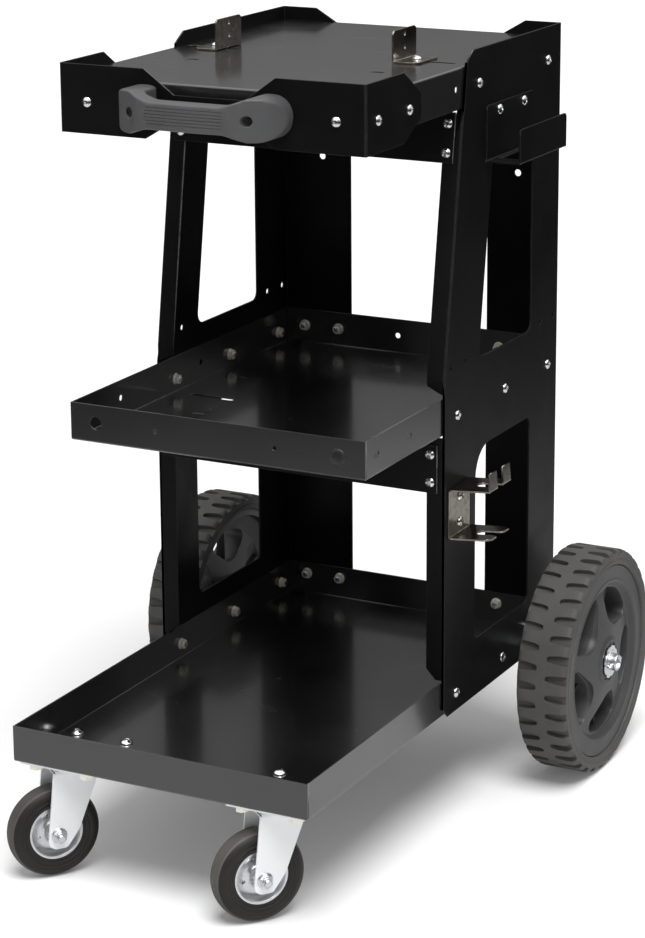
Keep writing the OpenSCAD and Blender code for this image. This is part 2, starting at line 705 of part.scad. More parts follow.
// pressed fork: crown with a running bore, two tapered legs
module fork_body() {
    r = caster_d / 2;
    t = -caster_trail;
    x1 = fork_gap + fork_t;
    difference() {
        union() {
            translate([0, 0, z_crown]) linear_extrude(fork_t)
                polygon(rounded([[-x1, -38], [x1, -38], [x1, 0], [x1 + 6, 14], [22, 32], [-22, 32],
                    [-x1 - 6, 14], [-x1, 0]], [3, 3, 8, 12, 10, 10, 12, 8]));
            for (s = [-1, 1]) mirrored(s) translate([fork_gap, 0, 0]) side_sheet(fork_t)
                polygon(rounded([[t - 4, z_crown + fork_t], [t - 12, r - 10], [t - 5, r - 15], [t + 9, r
                    - 15],
                    [t + 18, r - 3], [t + 24, r + 6], [14, z_crown + fork_t]], [0, 8, 6, 6, 10, 10, 0]));
        }
        translate([0, 0, z_crown - 1]) cylinder(r = kingpin_r + run_gap, h = fork_t + 2);
        across_x(0, t, r, caster_axle_r + 0.1, 80);
    }
}
module at_caster_axle(s) { at_caster(s, true) translate([0, -caster_trail, caster_d / 2]) rotate([0, 90,
    0]) children(); }
// hexagon-headed axle bolt along local Z
module caster_axle() {
    o = fork_gap + fork_t;
    union() {
        translate([0, 0, -o - 1]) cylinder(r = caster_axle_r, h = 2 * o + 11);
        translate([0, 0, -o - 5.2]) cylinder(r = 7.4, h = 5.2, $fn = 6);
    }
}
module caster_lock_nut() { translate([0, 0, fork_gap + fork_t]) flange_nut(caster_axle_r, 8); }
module caster_sleeve() {
    difference() {
        cylinder(r = bush_r, h = 2 * fork_gap, center = true);
        cylinder(r = caster_axle_r + 0.1, h = 2 * fork_gap + 2, center = true);
    }
}
// pressed steel rim with a hub tube, a web and a flanged edge
module caster_rim() {
    h = caster_w / 2;
    rr = caster_rim_r;
    difference() {
        rotate_extrude() polygon([[bush_r + run_gap, -h - 2.5], [10, -h - 2.5], [10, -4], [17, -2], [rr -
            5, -3],
            [rr - 2.5, -h + 2.5], [rr, -h + 2.5], [rr, h - 2.5], [rr - 2.5, h - 2.5], [rr - 5, 3], [17,
                2], [10, 4],
            [10, h + 2.5], [bush_r + run_gap, h + 2.5]]);
        for (a = [0:90:270]) rotate([0, 0, a + 20]) translate([17.5, 0, 0]) cylinder(r = 2, h = 20,
            center = true);
    }
}
module caster_tyre() {
    h = caster_w / 2;
    r = caster_d / 2;
    rr = caster_rim_r;
    rotate_extrude() polygon([[rr, 3 - h], [rr + 6, 1 - h], [r - 9, -h], [r - caster_edge_r, 2 - h], [r -
        1, 5.5 - h],
        [r, 8 - h], [r, h - 8], [r - 1, h - 5.5], [r - caster_edge_r, h - 2], [r - 9, h], [rr + 6, h -
            1], [rr, h - 3]]);
}
module left_fork() { color(zinc) at_caster(-1, true) fork_body(); }
module left_caster_bolt() { color(zinc) at_caster_axle(-1) caster_axle(); }
module left_caster_nut() { color(zinc) at_caster_axle(-1) caster_lock_nut(); }
module left_caster_bush() { color(zinc) at_caster_axle(-1) caster_sleeve(); }
module left_caster_rim() { color(zinc) at_caster_axle(-1) caster_rim(); }
module left_caster_tyre() { color(rubber) at_caster_axle(-1) caster_tyre(); }
module right_fork() { color(zinc) at_caster(1, true) fork_body(); }
module right_caster_bolt() { color(zinc) at_caster_axle(1) caster_axle(); }
module right_caster_nut() { color(zinc) at_caster_axle(1) caster_lock_nut(); }
module right_caster_bush() { color(zinc) at_caster_axle(1) caster_sleeve(); }
module right_caster_rim() { color(zinc) at_caster_axle(1) caster_rim(); }
module right_caster_tyre() { color(rubber) at_caster_axle(1) caster_tyre(); }

// rear axis: local Z points outwards from the cart's side
module at_rear(s) { placed() translate([0, rear_y, rear_d / 2]) rotate([0, s * 90, 0]) children(); }
module stub_axles() {
    w = stub_plate_w / 2;
    z0 = rear_d / 2;
    color(zinc) for (s = [-1, 1]) difference() {
        union() {
            placed() mirrored(s) translate([outer, rear_y, z0]) side_sheet(stub_plate_t)
                polygon(rounded([[-w, -16], [w, -16], [w, 38], [-w, 38]], [8, 8, 4, 4]));
            at_rear(s) rotate_extrude() polygon([[0, outer], [stub_r, outer], [stub_r, stub_end - 1.5],
                [stub_r - 1.5, stub_end], [0, stub_end]]);
        }
        at_rear(s) translate([0, 0, z_pin]) rotate([90, 0, 0]) cylinder(r = pin_r + 0.1, h = 60,
            center = true);
    }
}
module axle_spacers() {
    z0 = outer + stub_plate_t;
    color(zinc) for (s = [-1, 1]) at_rear(s) rotate_extrude()
        polygon([[stub_r + 0.1, z0], [stub_r + 4, z0], [stub_r + 4, rear_x - hub_half - 0.3],
            [stub_r + 0.1, rear_x - hub_half - 0.3]]);
}
module axle_washers() {
    z0 = rear_x + hub_half + 0.3;
    color(zinc) for (s = [-1, 1]) at_rear(s) rotate_extrude()
        polygon([[stub_r + 0.1, z0], [18.6, z0], [19.2, z0 + 0.6], [19.2, z0 + washer_t - 0.6], [18.6, z0
            + washer_t],
            [stub_r + 0.1, z0 + washer_t]]);
}
module split_pins() {
    color(zinc) for (s = [-1, 1]) at_rear(s) translate([0, 0, z_pin]) rotate([90, 0, 0]) union() {
        cylinder(r = pin_r, h = 34, center = true);
        translate([0, 0, 17]) rotate([0, 90, 0]) rotate_extrude() translate([2.6, 0]) circle(r = 1.2, $fn
            = 16);
    }
}
// moulded rim: hub, a deep web with five windows, and a broad flat edge that carries the tyre
module rear_rim() {
    b = stub_r + run_gap;
    rr = rear_rim_r;
    h = rear_w / 2;
    edge = rr - 18;
    difference() {
        rotate_extrude() polygon([[b, -hub_half], [21, -hub_half], [24, web_back - 12], [27, web_back],
            [edge - 10, web_back], [rr - barrel_t, web_back - 8], [rr - barrel_t, 4 - h], [rr, 4 - h],
            [rr, h - 4], [rr - 1.5, h - 3], [edge, h - 3], [edge - 3, h - 4.5], [edge - 7, web_front + 1],
            [edge - 12, web_front], [28, hub_half - 2], [24, hub_half], [b, hub_half]]);
        for (a = [0:72:288]) rotate([0, 0, a]) linear_extrude(120, center = true)
            polygon(rounded([[44, 4], [43, 21], [edge - 21.5, 49], [edge - 5.5, 3],
                [edge - 19.5, -44.5]], [9, 9, 10, 60, 9]));
    }
}
module rear_tyre() {
    h = rear_w / 2;
    r = rear_d / 2;
    rr = rear_rim_r;
    rotate_extrude() polygon([[rr, 4 - h], [rr + 1.5, 1.5 - h], [rr + 4, -h], [r - 5, -h],
        [r - 1.5, 2.5 - h], [r, 7 - h], [r, h - 7], [r - 1.5, h - 2.5], [r - 5, h], [rr + 4, h],
        [rr + 1.5, h - 1.5], [rr, h - 4]]);
}
module left_rear_rim() { color(rim_plastic) at_rear(-1) translate([0, 0, rear_x]) rear_rim(); }
module left_rear_tyre() { color(rubber) at_rear(-1) translate([0, 0, rear_x]) rear_tyre(); }
module right_rear_rim() { color(rim_plastic) at_rear(1) translate([0, 0, rear_x]) rear_rim(); }
module right_rear_tyre() { color(rubber) at_rear(1) translate([0, 0, rear_x]) rear_tyre(); }

bottom_tray();
middle_tray();
top_plate();
left_panel();
right_panel();
front_bracket();
handle();
handle_screws();
handle_nuts();
bracket_screws();
bracket_nuts();
upper_crossbar();
lower_crossbar();
crossbar_screws();
crossbar_nuts();
panel_screws();
panel_nuts();
cable_hook();
torch_holder();
accessory_screws();
accessory_nuts();
blanking_plug();
left_angle();
left_angle_screw();
left_angle_nut();
right_angle();
right_angle_screw();
right_angle_nut();
caster_plates();
caster_races();
caster_bolts();
caster_nuts();
kingpins();
left_fork();
left_caster_bolt();
left_caster_nut();
left_caster_bush();
left_caster_rim();
left_caster_tyre();
right_fork();
right_caster_bolt();
right_caster_nut();
right_caster_bush();
right_caster_rim();
right_caster_tyre();
stub_axles();
axle_spacers();
axle_washers();
split_pins();
left_rear_rim();
left_rear_tyre();
right_rear_rim();
right_rear_tyre();
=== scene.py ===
"""Looks of a three-shelf workshop cart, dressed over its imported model.

The cart is folded sheet metal under a glossy black powder coat, with a moulded pull handle, two zinc
swivel casters in front and two large moulded wheels behind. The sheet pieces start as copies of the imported
solids and get rounded folds and broken edges. The wheels, the handle and every fastener are built here.
Lengths in the classes are millimetres unless a name or a docstring says otherwise. Meshes are in metres, in
the cart's frame.
"""

import json
import logging
import math
from collections.abc import Callable, Sequence
from dataclasses import dataclass, field
from enum import Enum

import bmesh
import bpy
import numpy as np
from bmesh.types import BMEdge, BMesh
from bpy.types import Material, Node, NodeSocket, NodeTree, Object
from mathutils import Matrix, Vector


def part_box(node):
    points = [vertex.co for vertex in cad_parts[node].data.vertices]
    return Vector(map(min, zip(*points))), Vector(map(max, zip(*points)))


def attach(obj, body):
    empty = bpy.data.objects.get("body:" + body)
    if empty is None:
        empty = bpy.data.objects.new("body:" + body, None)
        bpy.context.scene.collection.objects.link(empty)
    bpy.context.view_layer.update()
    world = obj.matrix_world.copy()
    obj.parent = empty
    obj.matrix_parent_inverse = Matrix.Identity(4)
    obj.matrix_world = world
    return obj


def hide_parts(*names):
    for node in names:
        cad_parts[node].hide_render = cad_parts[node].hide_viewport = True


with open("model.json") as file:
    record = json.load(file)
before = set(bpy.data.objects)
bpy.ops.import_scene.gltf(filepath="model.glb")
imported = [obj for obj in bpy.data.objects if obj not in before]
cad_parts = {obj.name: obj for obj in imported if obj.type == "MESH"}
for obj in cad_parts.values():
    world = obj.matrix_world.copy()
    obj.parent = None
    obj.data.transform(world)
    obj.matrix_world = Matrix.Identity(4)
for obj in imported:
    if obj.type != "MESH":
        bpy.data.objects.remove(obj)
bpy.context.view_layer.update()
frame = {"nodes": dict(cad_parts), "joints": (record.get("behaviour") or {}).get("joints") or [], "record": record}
log = logging.getLogger("workshop_cart")

MM = 0.001
SIDES = ("left", "right")
BODY_OF_NODE = {n: b for b, nodes in frame["record"]["behaviour"]["bodies"].items() for n in nodes}
JOINTS = {j["name"]: j for j in frame["joints"]}

Point = tuple[float, float]
Tone = tuple[float, float, float]
Radius = float | Callable[[float], float]
Station = tuple[Radius, float]


# Outlines and meshes


def eased(corners: Sequence[Point], radii: Sequence[float], steps: int = 5) -> list[Point]:
    """Rounds the corners of a closed flat outline.

    Args:
        corners: The outline's corners in order.
        radii: The radius of each corner, 0 for a sharp one.
        steps: The number of pieces that each round is made of.

    Returns:
        The points of the rounded outline.
    """
    points: list[Point] = []
    for i, corner in enumerate(corners):
        here = Vector(corner)
        if radii[i] == 0:
            points.append(tuple(here))
            continue
        back = (Vector(corners[i - 1]) - here).normalized()
        on = (Vector(corners[(i + 1) % len(corners)]) - here).normalized()
        half = math.acos(max(-1.0, min(1.0, back.dot(on)))) / 2
        centre = here + (back + on).normalized() * radii[i] / math.sin(half)
        start = here + back * radii[i] / math.tan(half) - centre
        end = here + on * radii[i] / math.tan(half) - centre
        first = math.atan2(start.y, start.x)
        sweep = (math.atan2(end.y, end.x) - first + math.pi) % (2 * math.pi) - math.pi
        for k in range(steps + 1):
            angle = first + sweep * k / steps
            points.append((centre.x + radii[i] * math.cos(angle), centre.y + radii[i] * math.sin(angle)))
    return points


def swollen(outline: Sequence[Point], by: float) -> list[Point]:
    """Moves each point of a closed anticlockwise outline outwards.

    Args:
        outline: The outline's points.
        by: How far they move.

    Returns:
        The moved points.
    """
    moved = []
    for i, (x, y) in enumerate(outline):
        back, on = Vector(outline[i - 1]), Vector(outline[(i + 1) % len(outline)])
        along = (on - back).normalized()
        moved.append((x + along.y * by, y - along.x * by))
    return moved


def net(rows: Sequence[Sequence[Vector]], wrap_rows: bool, wrap_columns: bool, caps: bool = False) -> BMesh:
    """Builds a net of quads through rows of points.

    Args:
        rows: Rows of points in metres, all of one length.
        wrap_rows: Whether the last row joins the first.
        wrap_columns: Whether each row closes on itself.
        caps: Whether the first and last rows are filled.

    Returns:
        The net, with its doubles merged and its faces outwards.
    """
    mesh = bmesh.new()
    grid = [[mesh.verts.new(p) for p in row] for row in rows]
    height, width = len(grid), len(grid[0])
    for i in range(height if wrap_rows else height - 1):
        for j in range(width if wrap_columns else width - 1):
            this, after, k = grid[i], grid[(i + 1) % height], (j + 1) % width
            mesh.faces.new((this[j], this[k], after[k], after[j]))
    if caps:
        mesh.faces.new(grid[0])
        mesh.faces.new(grid[-1])
    bmesh.ops.remove_doubles(mesh, verts=mesh.verts, dist=1e-7)
    bmesh.ops.recalc_face_normals(mesh, faces=mesh.faces)
    return mesh


def turned(stations: Sequence[Station], steps: int, closed: bool = False) -> BMesh:
    """Spins stations round the Z axis.

    Args:
        stations: Radius and height of each station; a radius may change with the angle.
        steps: The number of steps in a full turn.
        closed: Whether the last station joins the first, as on a ring.

    Returns:
        The turned mesh in metres.
    """
    rows = []
    for i in range(steps):
        angle = 2 * math.pi * i / steps
        at = [(r(angle) if callable(r) else r, z) for r, z in stations]
        rows.append([Vector((r * math.cos(angle), r * math.sin(angle), z)) * MM for r, z in at])
    return net(rows, True, closed)


def hexagon(flat: float, limit: float = math.inf) -> Callable[[float], float]:
    """Gives the radius of a hexagon with that half width across flats, cut to a circle."""
    return lambda angle: min(limit, flat / math.cos((angle % (math.pi / 3)) - math.pi / 6))


def lobed(radius: float) -> Callable[[float], float]:
    """Gives the radius of a recess with six lobes round that mean radius."""
    return lambda angle: radius * (1 + 0.14 * math.cos(6 * angle))


def stacked(loops: Sequence[tuple[Sequence[Point], float]]) -> BMesh:
    """Lofts flat outlines of one count, each at its height, into a closed solid."""
    return net([[Vector((x, y, z)) * MM for x, y in loop] for loop, z in loops], False, True, True)


def linked(name: str, data: bpy.types.ID) -> Object:
    """Makes an object and puts it in the scene.

    Args:
        name: The object's name.
        data: Its mesh, lamp or camera.

    Returns:
        The new object.
    """
    made = bpy.data.objects.new(name, data)
    bpy.context.scene.collection.objects.link(made)
    return made


def as_object(mesh: BMesh, name: str, place: Matrix | None = None) -> Object:
    """Makes an object of a mesh, with its place in its vertices.

    Args:
        mesh: The mesh, which is freed.
        name: The object's name.
        place: Where the mesh is moved to.

    Returns:
        The object, at the origin.
    """
    data = bpy.data.meshes.new(name)
    mesh.to_mesh(data)
    mesh.free()
    if place is not None:
        data.transform(place)
    return linked(name, data)


def plain(source: Object, name: str) -> Object:
    """Turns an object and its modifiers into a plain mesh object.

    Args:
        source: The object, which is removed.
        name: The name of the result.

    Returns:
        The plain object.
    """
    bpy.context.view_layer.update()
    graph = bpy.context.evaluated_depsgraph_get()
    final = source.evaluated_get(graph)
    data = bpy.data.meshes.new_from_object(final, preserve_all_data_layers=True, depsgraph=graph)
    bpy.data.objects.remove(source)
    data.name = name
    return linked(name, data)


def carve(target: Object, cutters: Sequence[Object]) -> Object:
    """Cuts closed shapes out of an object.

    Args:
        target: The object that is cut.
        cutters: The shapes that are taken out of it, which are removed afterwards.

    Returns:
        The plain result under the target's name.
    """
    name = target.name
    for cutter in cutters:
        cut = target.modifiers.new("cut", "BOOLEAN")
        cut.operation, cut.solver, cut.object = "DIFFERENCE", "EXACT", cutter
    target.name = name + "_uncut"
    made = plain(target, name)
    for cutter in cutters:
        bpy.data.objects.remove(cutter)
    return made


def joined(parts: Sequence[Object], name: str) -> Object:
    """Joins plain mesh objects into one, keeping their materials.

    Args:
        parts: The objects.
        name: The name of the whole.

    Returns:
        The whole, which is the first of them.
    """
    with bpy.context.temp_override(active_object=parts[0], selected_editable_objects=list(parts)):
        bpy.ops.object.join()
    parts[0].name = parts[0].data.name = name
    return parts[0]


def smooth(made: Object, angle: float) -> Object:
    """Shades an object smooth, with sharp edges where it bends far.

    Args:
        made: The object.
        angle: The least bend of a sharp edge, in degrees.

    Returns:
        The same object.
    """
    made.data.shade_smooth()
    made.data.set_sharp_from_angle(angle=math.radians(angle))
    return made


def flat_shaded(made: Object, name: str) -> Object:
    """Shades a plain object smooth, with its broad faces kept flat.

    Args:
        made: The object, which is replaced.
        name: The name of the result.

    Returns:
        The shaded object.
    """
    made.data.shade_smooth()
    faces = made.modifiers.new("flat_faces", "WEIGHTED_NORMAL")
    faces.mode, faces.weight, faces.keep_sharp = "FACE_AREA", 100, False
    made.name = name + "_unshaded"
    return plain(made, name)


def whole_mesh(source: Object) -> BMesh:
    """Copies an object's mesh, with its doubles merged and its flat faces made whole.

    Args:
        source: The object, which stays as it is.

    Returns:
        The copy.
    """
    mesh = bmesh.new()
    mesh.from_mesh(source.data)
    bmesh.ops.remove_doubles(mesh, verts=mesh.verts, dist=1e-6)
    bmesh.ops.dissolve_limit(mesh, angle_limit=math.radians(0.2), verts=mesh.verts, edges=mesh.edges)
    return mesh


def axle_frame(centre: Sequence[float], axis: Sequence[float]) -> Matrix:
    """Gives a frame whose Z runs along a level axis and whose X points down.

    Args:
        centre: The frame's origin in metres.
        axis: The axis.

    Returns:
        The frame's place.
    """
    z = Vector(axis).normalized()
    x = Vector((0, 0, -1))
    turn = Matrix((x, z.cross(x), z)).transposed().to_4x4()
    return Matrix.Translation(Vector(centre)) @ turn


def put(made: Object, material: Material | None, nodes: Sequence[str]) -> None:
    """Dresses a finished piece and puts it in the place of its nodes.

    Args:
        made: The piece.
        material: Its material, or None where it has its own already.
        nodes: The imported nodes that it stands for.
    """
    if material is not None:
        made.data.materials.clear()
        made.data.materials.append(material)
    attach(made, BODY_OF_NODE[nodes[0]])
    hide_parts(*nodes)


def solids_of(node: str) -> list[np.ndarray]:
    """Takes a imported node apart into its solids.

    Args:
        node: The node's name.

    Returns:
        The corners of each solid in metres, in a fixed order.
    """
    mesh = bmesh.new()
    mesh.from_mesh(frame["nodes"][node].data)
    bmesh.ops.remove_doubles(mesh, verts=mesh.verts, dist=1e-6)
    left, solids = set(mesh.verts), []
    while left:
        front = [left.pop()]
        group = list(front)
        while front:
            for edge in front.pop().link_edges:
                for vert in edge.verts:
                    if vert in left:
                        left.remove(vert)
                        front.append(vert)
                        group.append(vert)
        solids.append(np.array([v.co[:] for v in group]))
    mesh.free()
    return sorted(solids, key=lambda s: tuple(np.round(s.mean(0), 4)))


# Node trees


@dataclass
class NodeDesk:
    """Adds and links nodes in one tree.

    Attributes:
        tree: The node tree that is worked on.
    """

    tree: NodeTree

    def add(self, kind: str, settings: dict | None = None, **sockets: object) -> Node:
        """Adds a node.

        Args:
            kind: The node's type.
            settings: Its own properties.
            **sockets: Values or output sockets for its inputs, named with _ for a space.

        Returns:
            The new node.
        """
        node = self.tree.nodes.new(kind)
        for key, value in (settings or {}).items():
            setattr(node, key, value)
        self.feed(node, {key.replace("_", " "): value for key, value in sockets.items()})
        return node

    def feed(self, node: Node, values: dict[str | int, object]) -> None:
        """Sets a node's inputs.

        Args:
            node: The node.
            values: For each input its value, or the output socket that is linked to it.
        """
        for socket, value in values.items():
            if isinstance(value, NodeSocket):
                self.tree.links.new(value, node.inputs[socket])
            else:
                node.inputs[socket].default_value = value

    def maths(self, operation: str, first: object, second: object = 0.0, clamp: bool = False) -> NodeSocket:
        """Adds a Math node.

        Args:
            operation: What it does.
            first: Its first value or socket.
            second: Its second value or socket.
            clamp: Whether the result is kept between 0 and 1.

        Returns:
            Its result.
        """
        node = self.add("ShaderNodeMath", {"operation": operation, "use_clamp": clamp})
        self.feed(node, {0: first, 1: second})
        return node.outputs[0]

    def blend(self, factor: object, first: object, second: object) -> NodeSocket:
        """Mixes two colours.

        Args:
            factor: The second colour's share.
            first: The first colour.
            second: The second colour.

        Returns:
            The mixed colour.
        """
        node = self.add("ShaderNodeMix", {"data_type": "RGBA"})
        self.feed(node, {0: factor, 6: first, 7: second})
        return node.outputs[2]

    def noise(self, place: NodeSocket, scale: object, detail: float, **more: float) -> NodeSocket:
        """Adds a noise texture and gives its value."""
        return self.add("ShaderNodeTexNoise", Vector=place, Scale=scale, Detail=detail, **more).outputs[0]

    def spread(
        self, value: NodeSocket, taken: Point, given: Sequence[object] = (0.0, 1.0), soft: bool = False
    ) -> NodeSocket:
        """Stretches a value from one range to another.

        Args:
            value: The value.
            taken: The range that is taken in.
            given: The range that is given out, as values or sockets.
            soft: Whether it eases in and out.

        Returns:
            The stretched value, which stays within the range.
        """
        ends = {"From_Min": taken[0], "From_Max": taken[1], "To_Min": given[0], "To_Max": given[1]}
        settings = {"interpolation_type": "SMOOTHSTEP" if soft else "LINEAR"}
        return self.add("ShaderNodeMapRange", settings, Value=value, **ends).outputs[0]


def opened(tree: NodeTree, ins: dict[str, str], outs: dict[str, str]) -> tuple[NodeDesk, Node, Node]:
    """Gives a node group its sockets.

    Args:
        tree: The new group.
        ins: The kind of each input.
        outs: The kind of each output.

    Returns:
        A desk on the group, its input node and its output node.
    """
    for in_out, sockets in (("INPUT", ins), ("OUTPUT", outs)):
        for name, kind in sockets.items():
            tree.interface.new_socket(name, in_out=in_out, socket_type="NodeSocket" + kind)
    desk = NodeDesk(tree)
    return desk, desk.add("NodeGroupInput"), desk.add("NodeGroupOutput")


def run_tree(target: Object, tree: NodeTree, values: dict[str, object]) -> None:
    """Puts a Geometry Nodes tree on an object and sets its inputs by their identifiers.

    Args:
        target: The object.
        tree: The tree.
        values: For each named input its value.
    """
    modifier = target.modifiers.new("built_by_nodes", "NODES")
    modifier.node_group = tree
    known = {s.name: s.identifier for s in tree.interface.items_tree if s.in_out == "INPUT"}
    for name, value in values.items():
        modifier[known[name]] = value


# Shared shader effects


class Effect(Enum):
    """The shader effects that several finishes use, each a node group."""

    SKIN = "sprayed_skin"
    DRIFT = "tone_drift"
    GLOSS = "gloss_drift"
    RUB = "edge_rub"
    # Painted highlight: a pale tone along edges, standing in for light caught on their rounding
    SPANGLE = "plating_spangle"


@dataclass
class EffectShelf:
    """Builds each shared effect once and hands out its group.

    Attributes:
        groups: The groups that exist by now.
    """

    groups: dict[Effect, NodeTree] = field(default_factory=dict)

    def use(self, desk: NodeDesk, effect: Effect, **sockets: object) -> Node:
        """Places an effect in a material, and builds its group at its first use.

        Args:
            desk: The desk on the material.
            effect: The effect.
            **sockets: Its values, named with _ for a space.

        Returns:
            The node that holds the group.
        """
        if effect not in self.groups:
            makers = {
                Effect.SKIN: self.skin,
                Effect.DRIFT: self.drift,
                Effect.GLOSS: self.gloss,
                Effect.RUB: self.edge_highlight,
                Effect.SPANGLE: self.spangle,
            }
            self.groups[effect] = bpy.data.node_groups.new(effect.value, "ShaderNodeTree")
            makers[effect](self.groups[effect])
        return desk.add("ShaderNodeGroup", {"node_tree": self.groups[effect]}, **sockets)

    def skin(self, group: NodeTree) -> None:
        """Gives the soft waves of a sprayed or moulded skin, with a fine grain over them.

        Args:
            group: The group that is filled.
        """
        ins = {"Vector": "Vector", "Wave Scale": "Float", "Grain Scale": "Float", "Grain Share": "Float"}
        desk, given, out = opened(group, ins, {"Height": "Float"})
        place, share = given.outputs["Vector"], given.outputs["Grain Share"]
        wave = desk.noise(place, given.outputs["Wave Scale"], 1.5)
        grain = desk.noise(place, given.outputs["Grain Scale"], 3.0)
        low = desk.maths("MULTIPLY", wave, desk.maths("SUBTRACT", 1.0, share))
        desk.feed(out, {"Height": desk.maths("ADD", low, desk.maths("MULTIPLY", grain, share))})

    def drift(self, group: NodeTree) -> None:
        """Gives a slow change between two tones.

        Args:
            group: The group that is filled.
        """
        ins = {"Vector": "Vector", "Scale": "Float", "First": "Color", "Second": "Color"}
        desk, given, out = opened(group, ins, {"Color": "Color"})
        cloud = desk.noise(given.outputs["Vector"], given.outputs["Scale"], 4.0, Roughness=0.6)
        share = desk.spread(cloud, (0.32, 0.68))
        desk.feed(out, {"Color": desk.blend(share, given.outputs["First"], given.outputs["Second"])})

    def gloss(self, group: NodeTree) -> None:
        """Gives a roughness that wanders between two values, as where hands and cloths have been.

        Args:
            group: The group that is filled.
        """
        ins = {"Vector": "Vector", "Scale": "Float", "Low": "Float", "High": "Float"}
        desk, given, out = opened(group, ins, {"Roughness": "Float"})
        smear = desk.noise(given.outputs["Vector"], given.outputs["Scale"], 5.0, Distortion=0.6)
        ends = (given.outputs["Low"], given.outputs["High"])
        desk.feed(out, {"Roughness": desk.spread(smear, (0.3, 0.7), ends)})

    def edge_highlight(self, group: NodeTree) -> None:
        """Gives the mask of a painted highlight, 1 along convex and concave edges and broken up a little.

        Args:
            group: The group that is filled.
        """
        ins = {"Vector": "Vector", "Radius": "Float", "Breakup Scale": "Float"}
        desk, given, out = opened(group, ins, {"Mask": "Float"})
        soft = desk.add("ShaderNodeBevel", {"samples": 4}, Radius=given.outputs["Radius"])
        real = desk.add("ShaderNodeNewGeometry")
        bend = desk.add("ShaderNodeVectorMath", {"operation": "DOT_PRODUCT"})
        desk.feed(bend, {0: soft.outputs[0], 1: real.outputs["True Normal"]})
        edge = desk.maths("MULTIPLY", desk.maths("SUBTRACT", 1.0, bend.outputs["Value"]), 6.0, True)
        speck = desk.noise(given.outputs["Vector"], given.outputs["Breakup Scale"], 3.0)
        broken = desk.spread(speck, (0.3, 0.6), (0.45, 1.0))
        desk.feed(out, {"Mask": desk.maths("MULTIPLY", edge, broken, True)})

    def spangle(self, group: NodeTree) -> None:
        """Gives the faint crystal patches of plated steel.

        Args:
            group: The group that is filled.
        """
        desk, given, out = opened(group, {"Vector": "Vector", "Scale": "Float"}, {"Patch": "Float"})
        place = given.outputs["Vector"]
        bent = desk.add("ShaderNodeTexNoise", Vector=place, Scale=90.0, Detail=2.0)
        swirl = desk.add("ShaderNodeMix", {"data_type": "VECTOR"})
        desk.feed(swirl, {0: 0.015, 4: place, 5: bent.outputs["Color"]})
        cells = desk.add("ShaderNodeTexVoronoi", Vector=swirl.outputs[1], Scale=given.outputs["Scale"])
        tone = desk.add("ShaderNodeSeparateColor", Color=cells.outputs["Color"])
        desk.feed(out, {"Patch": tone.outputs[0]})


SHELF = EffectShelf()


# Finishes


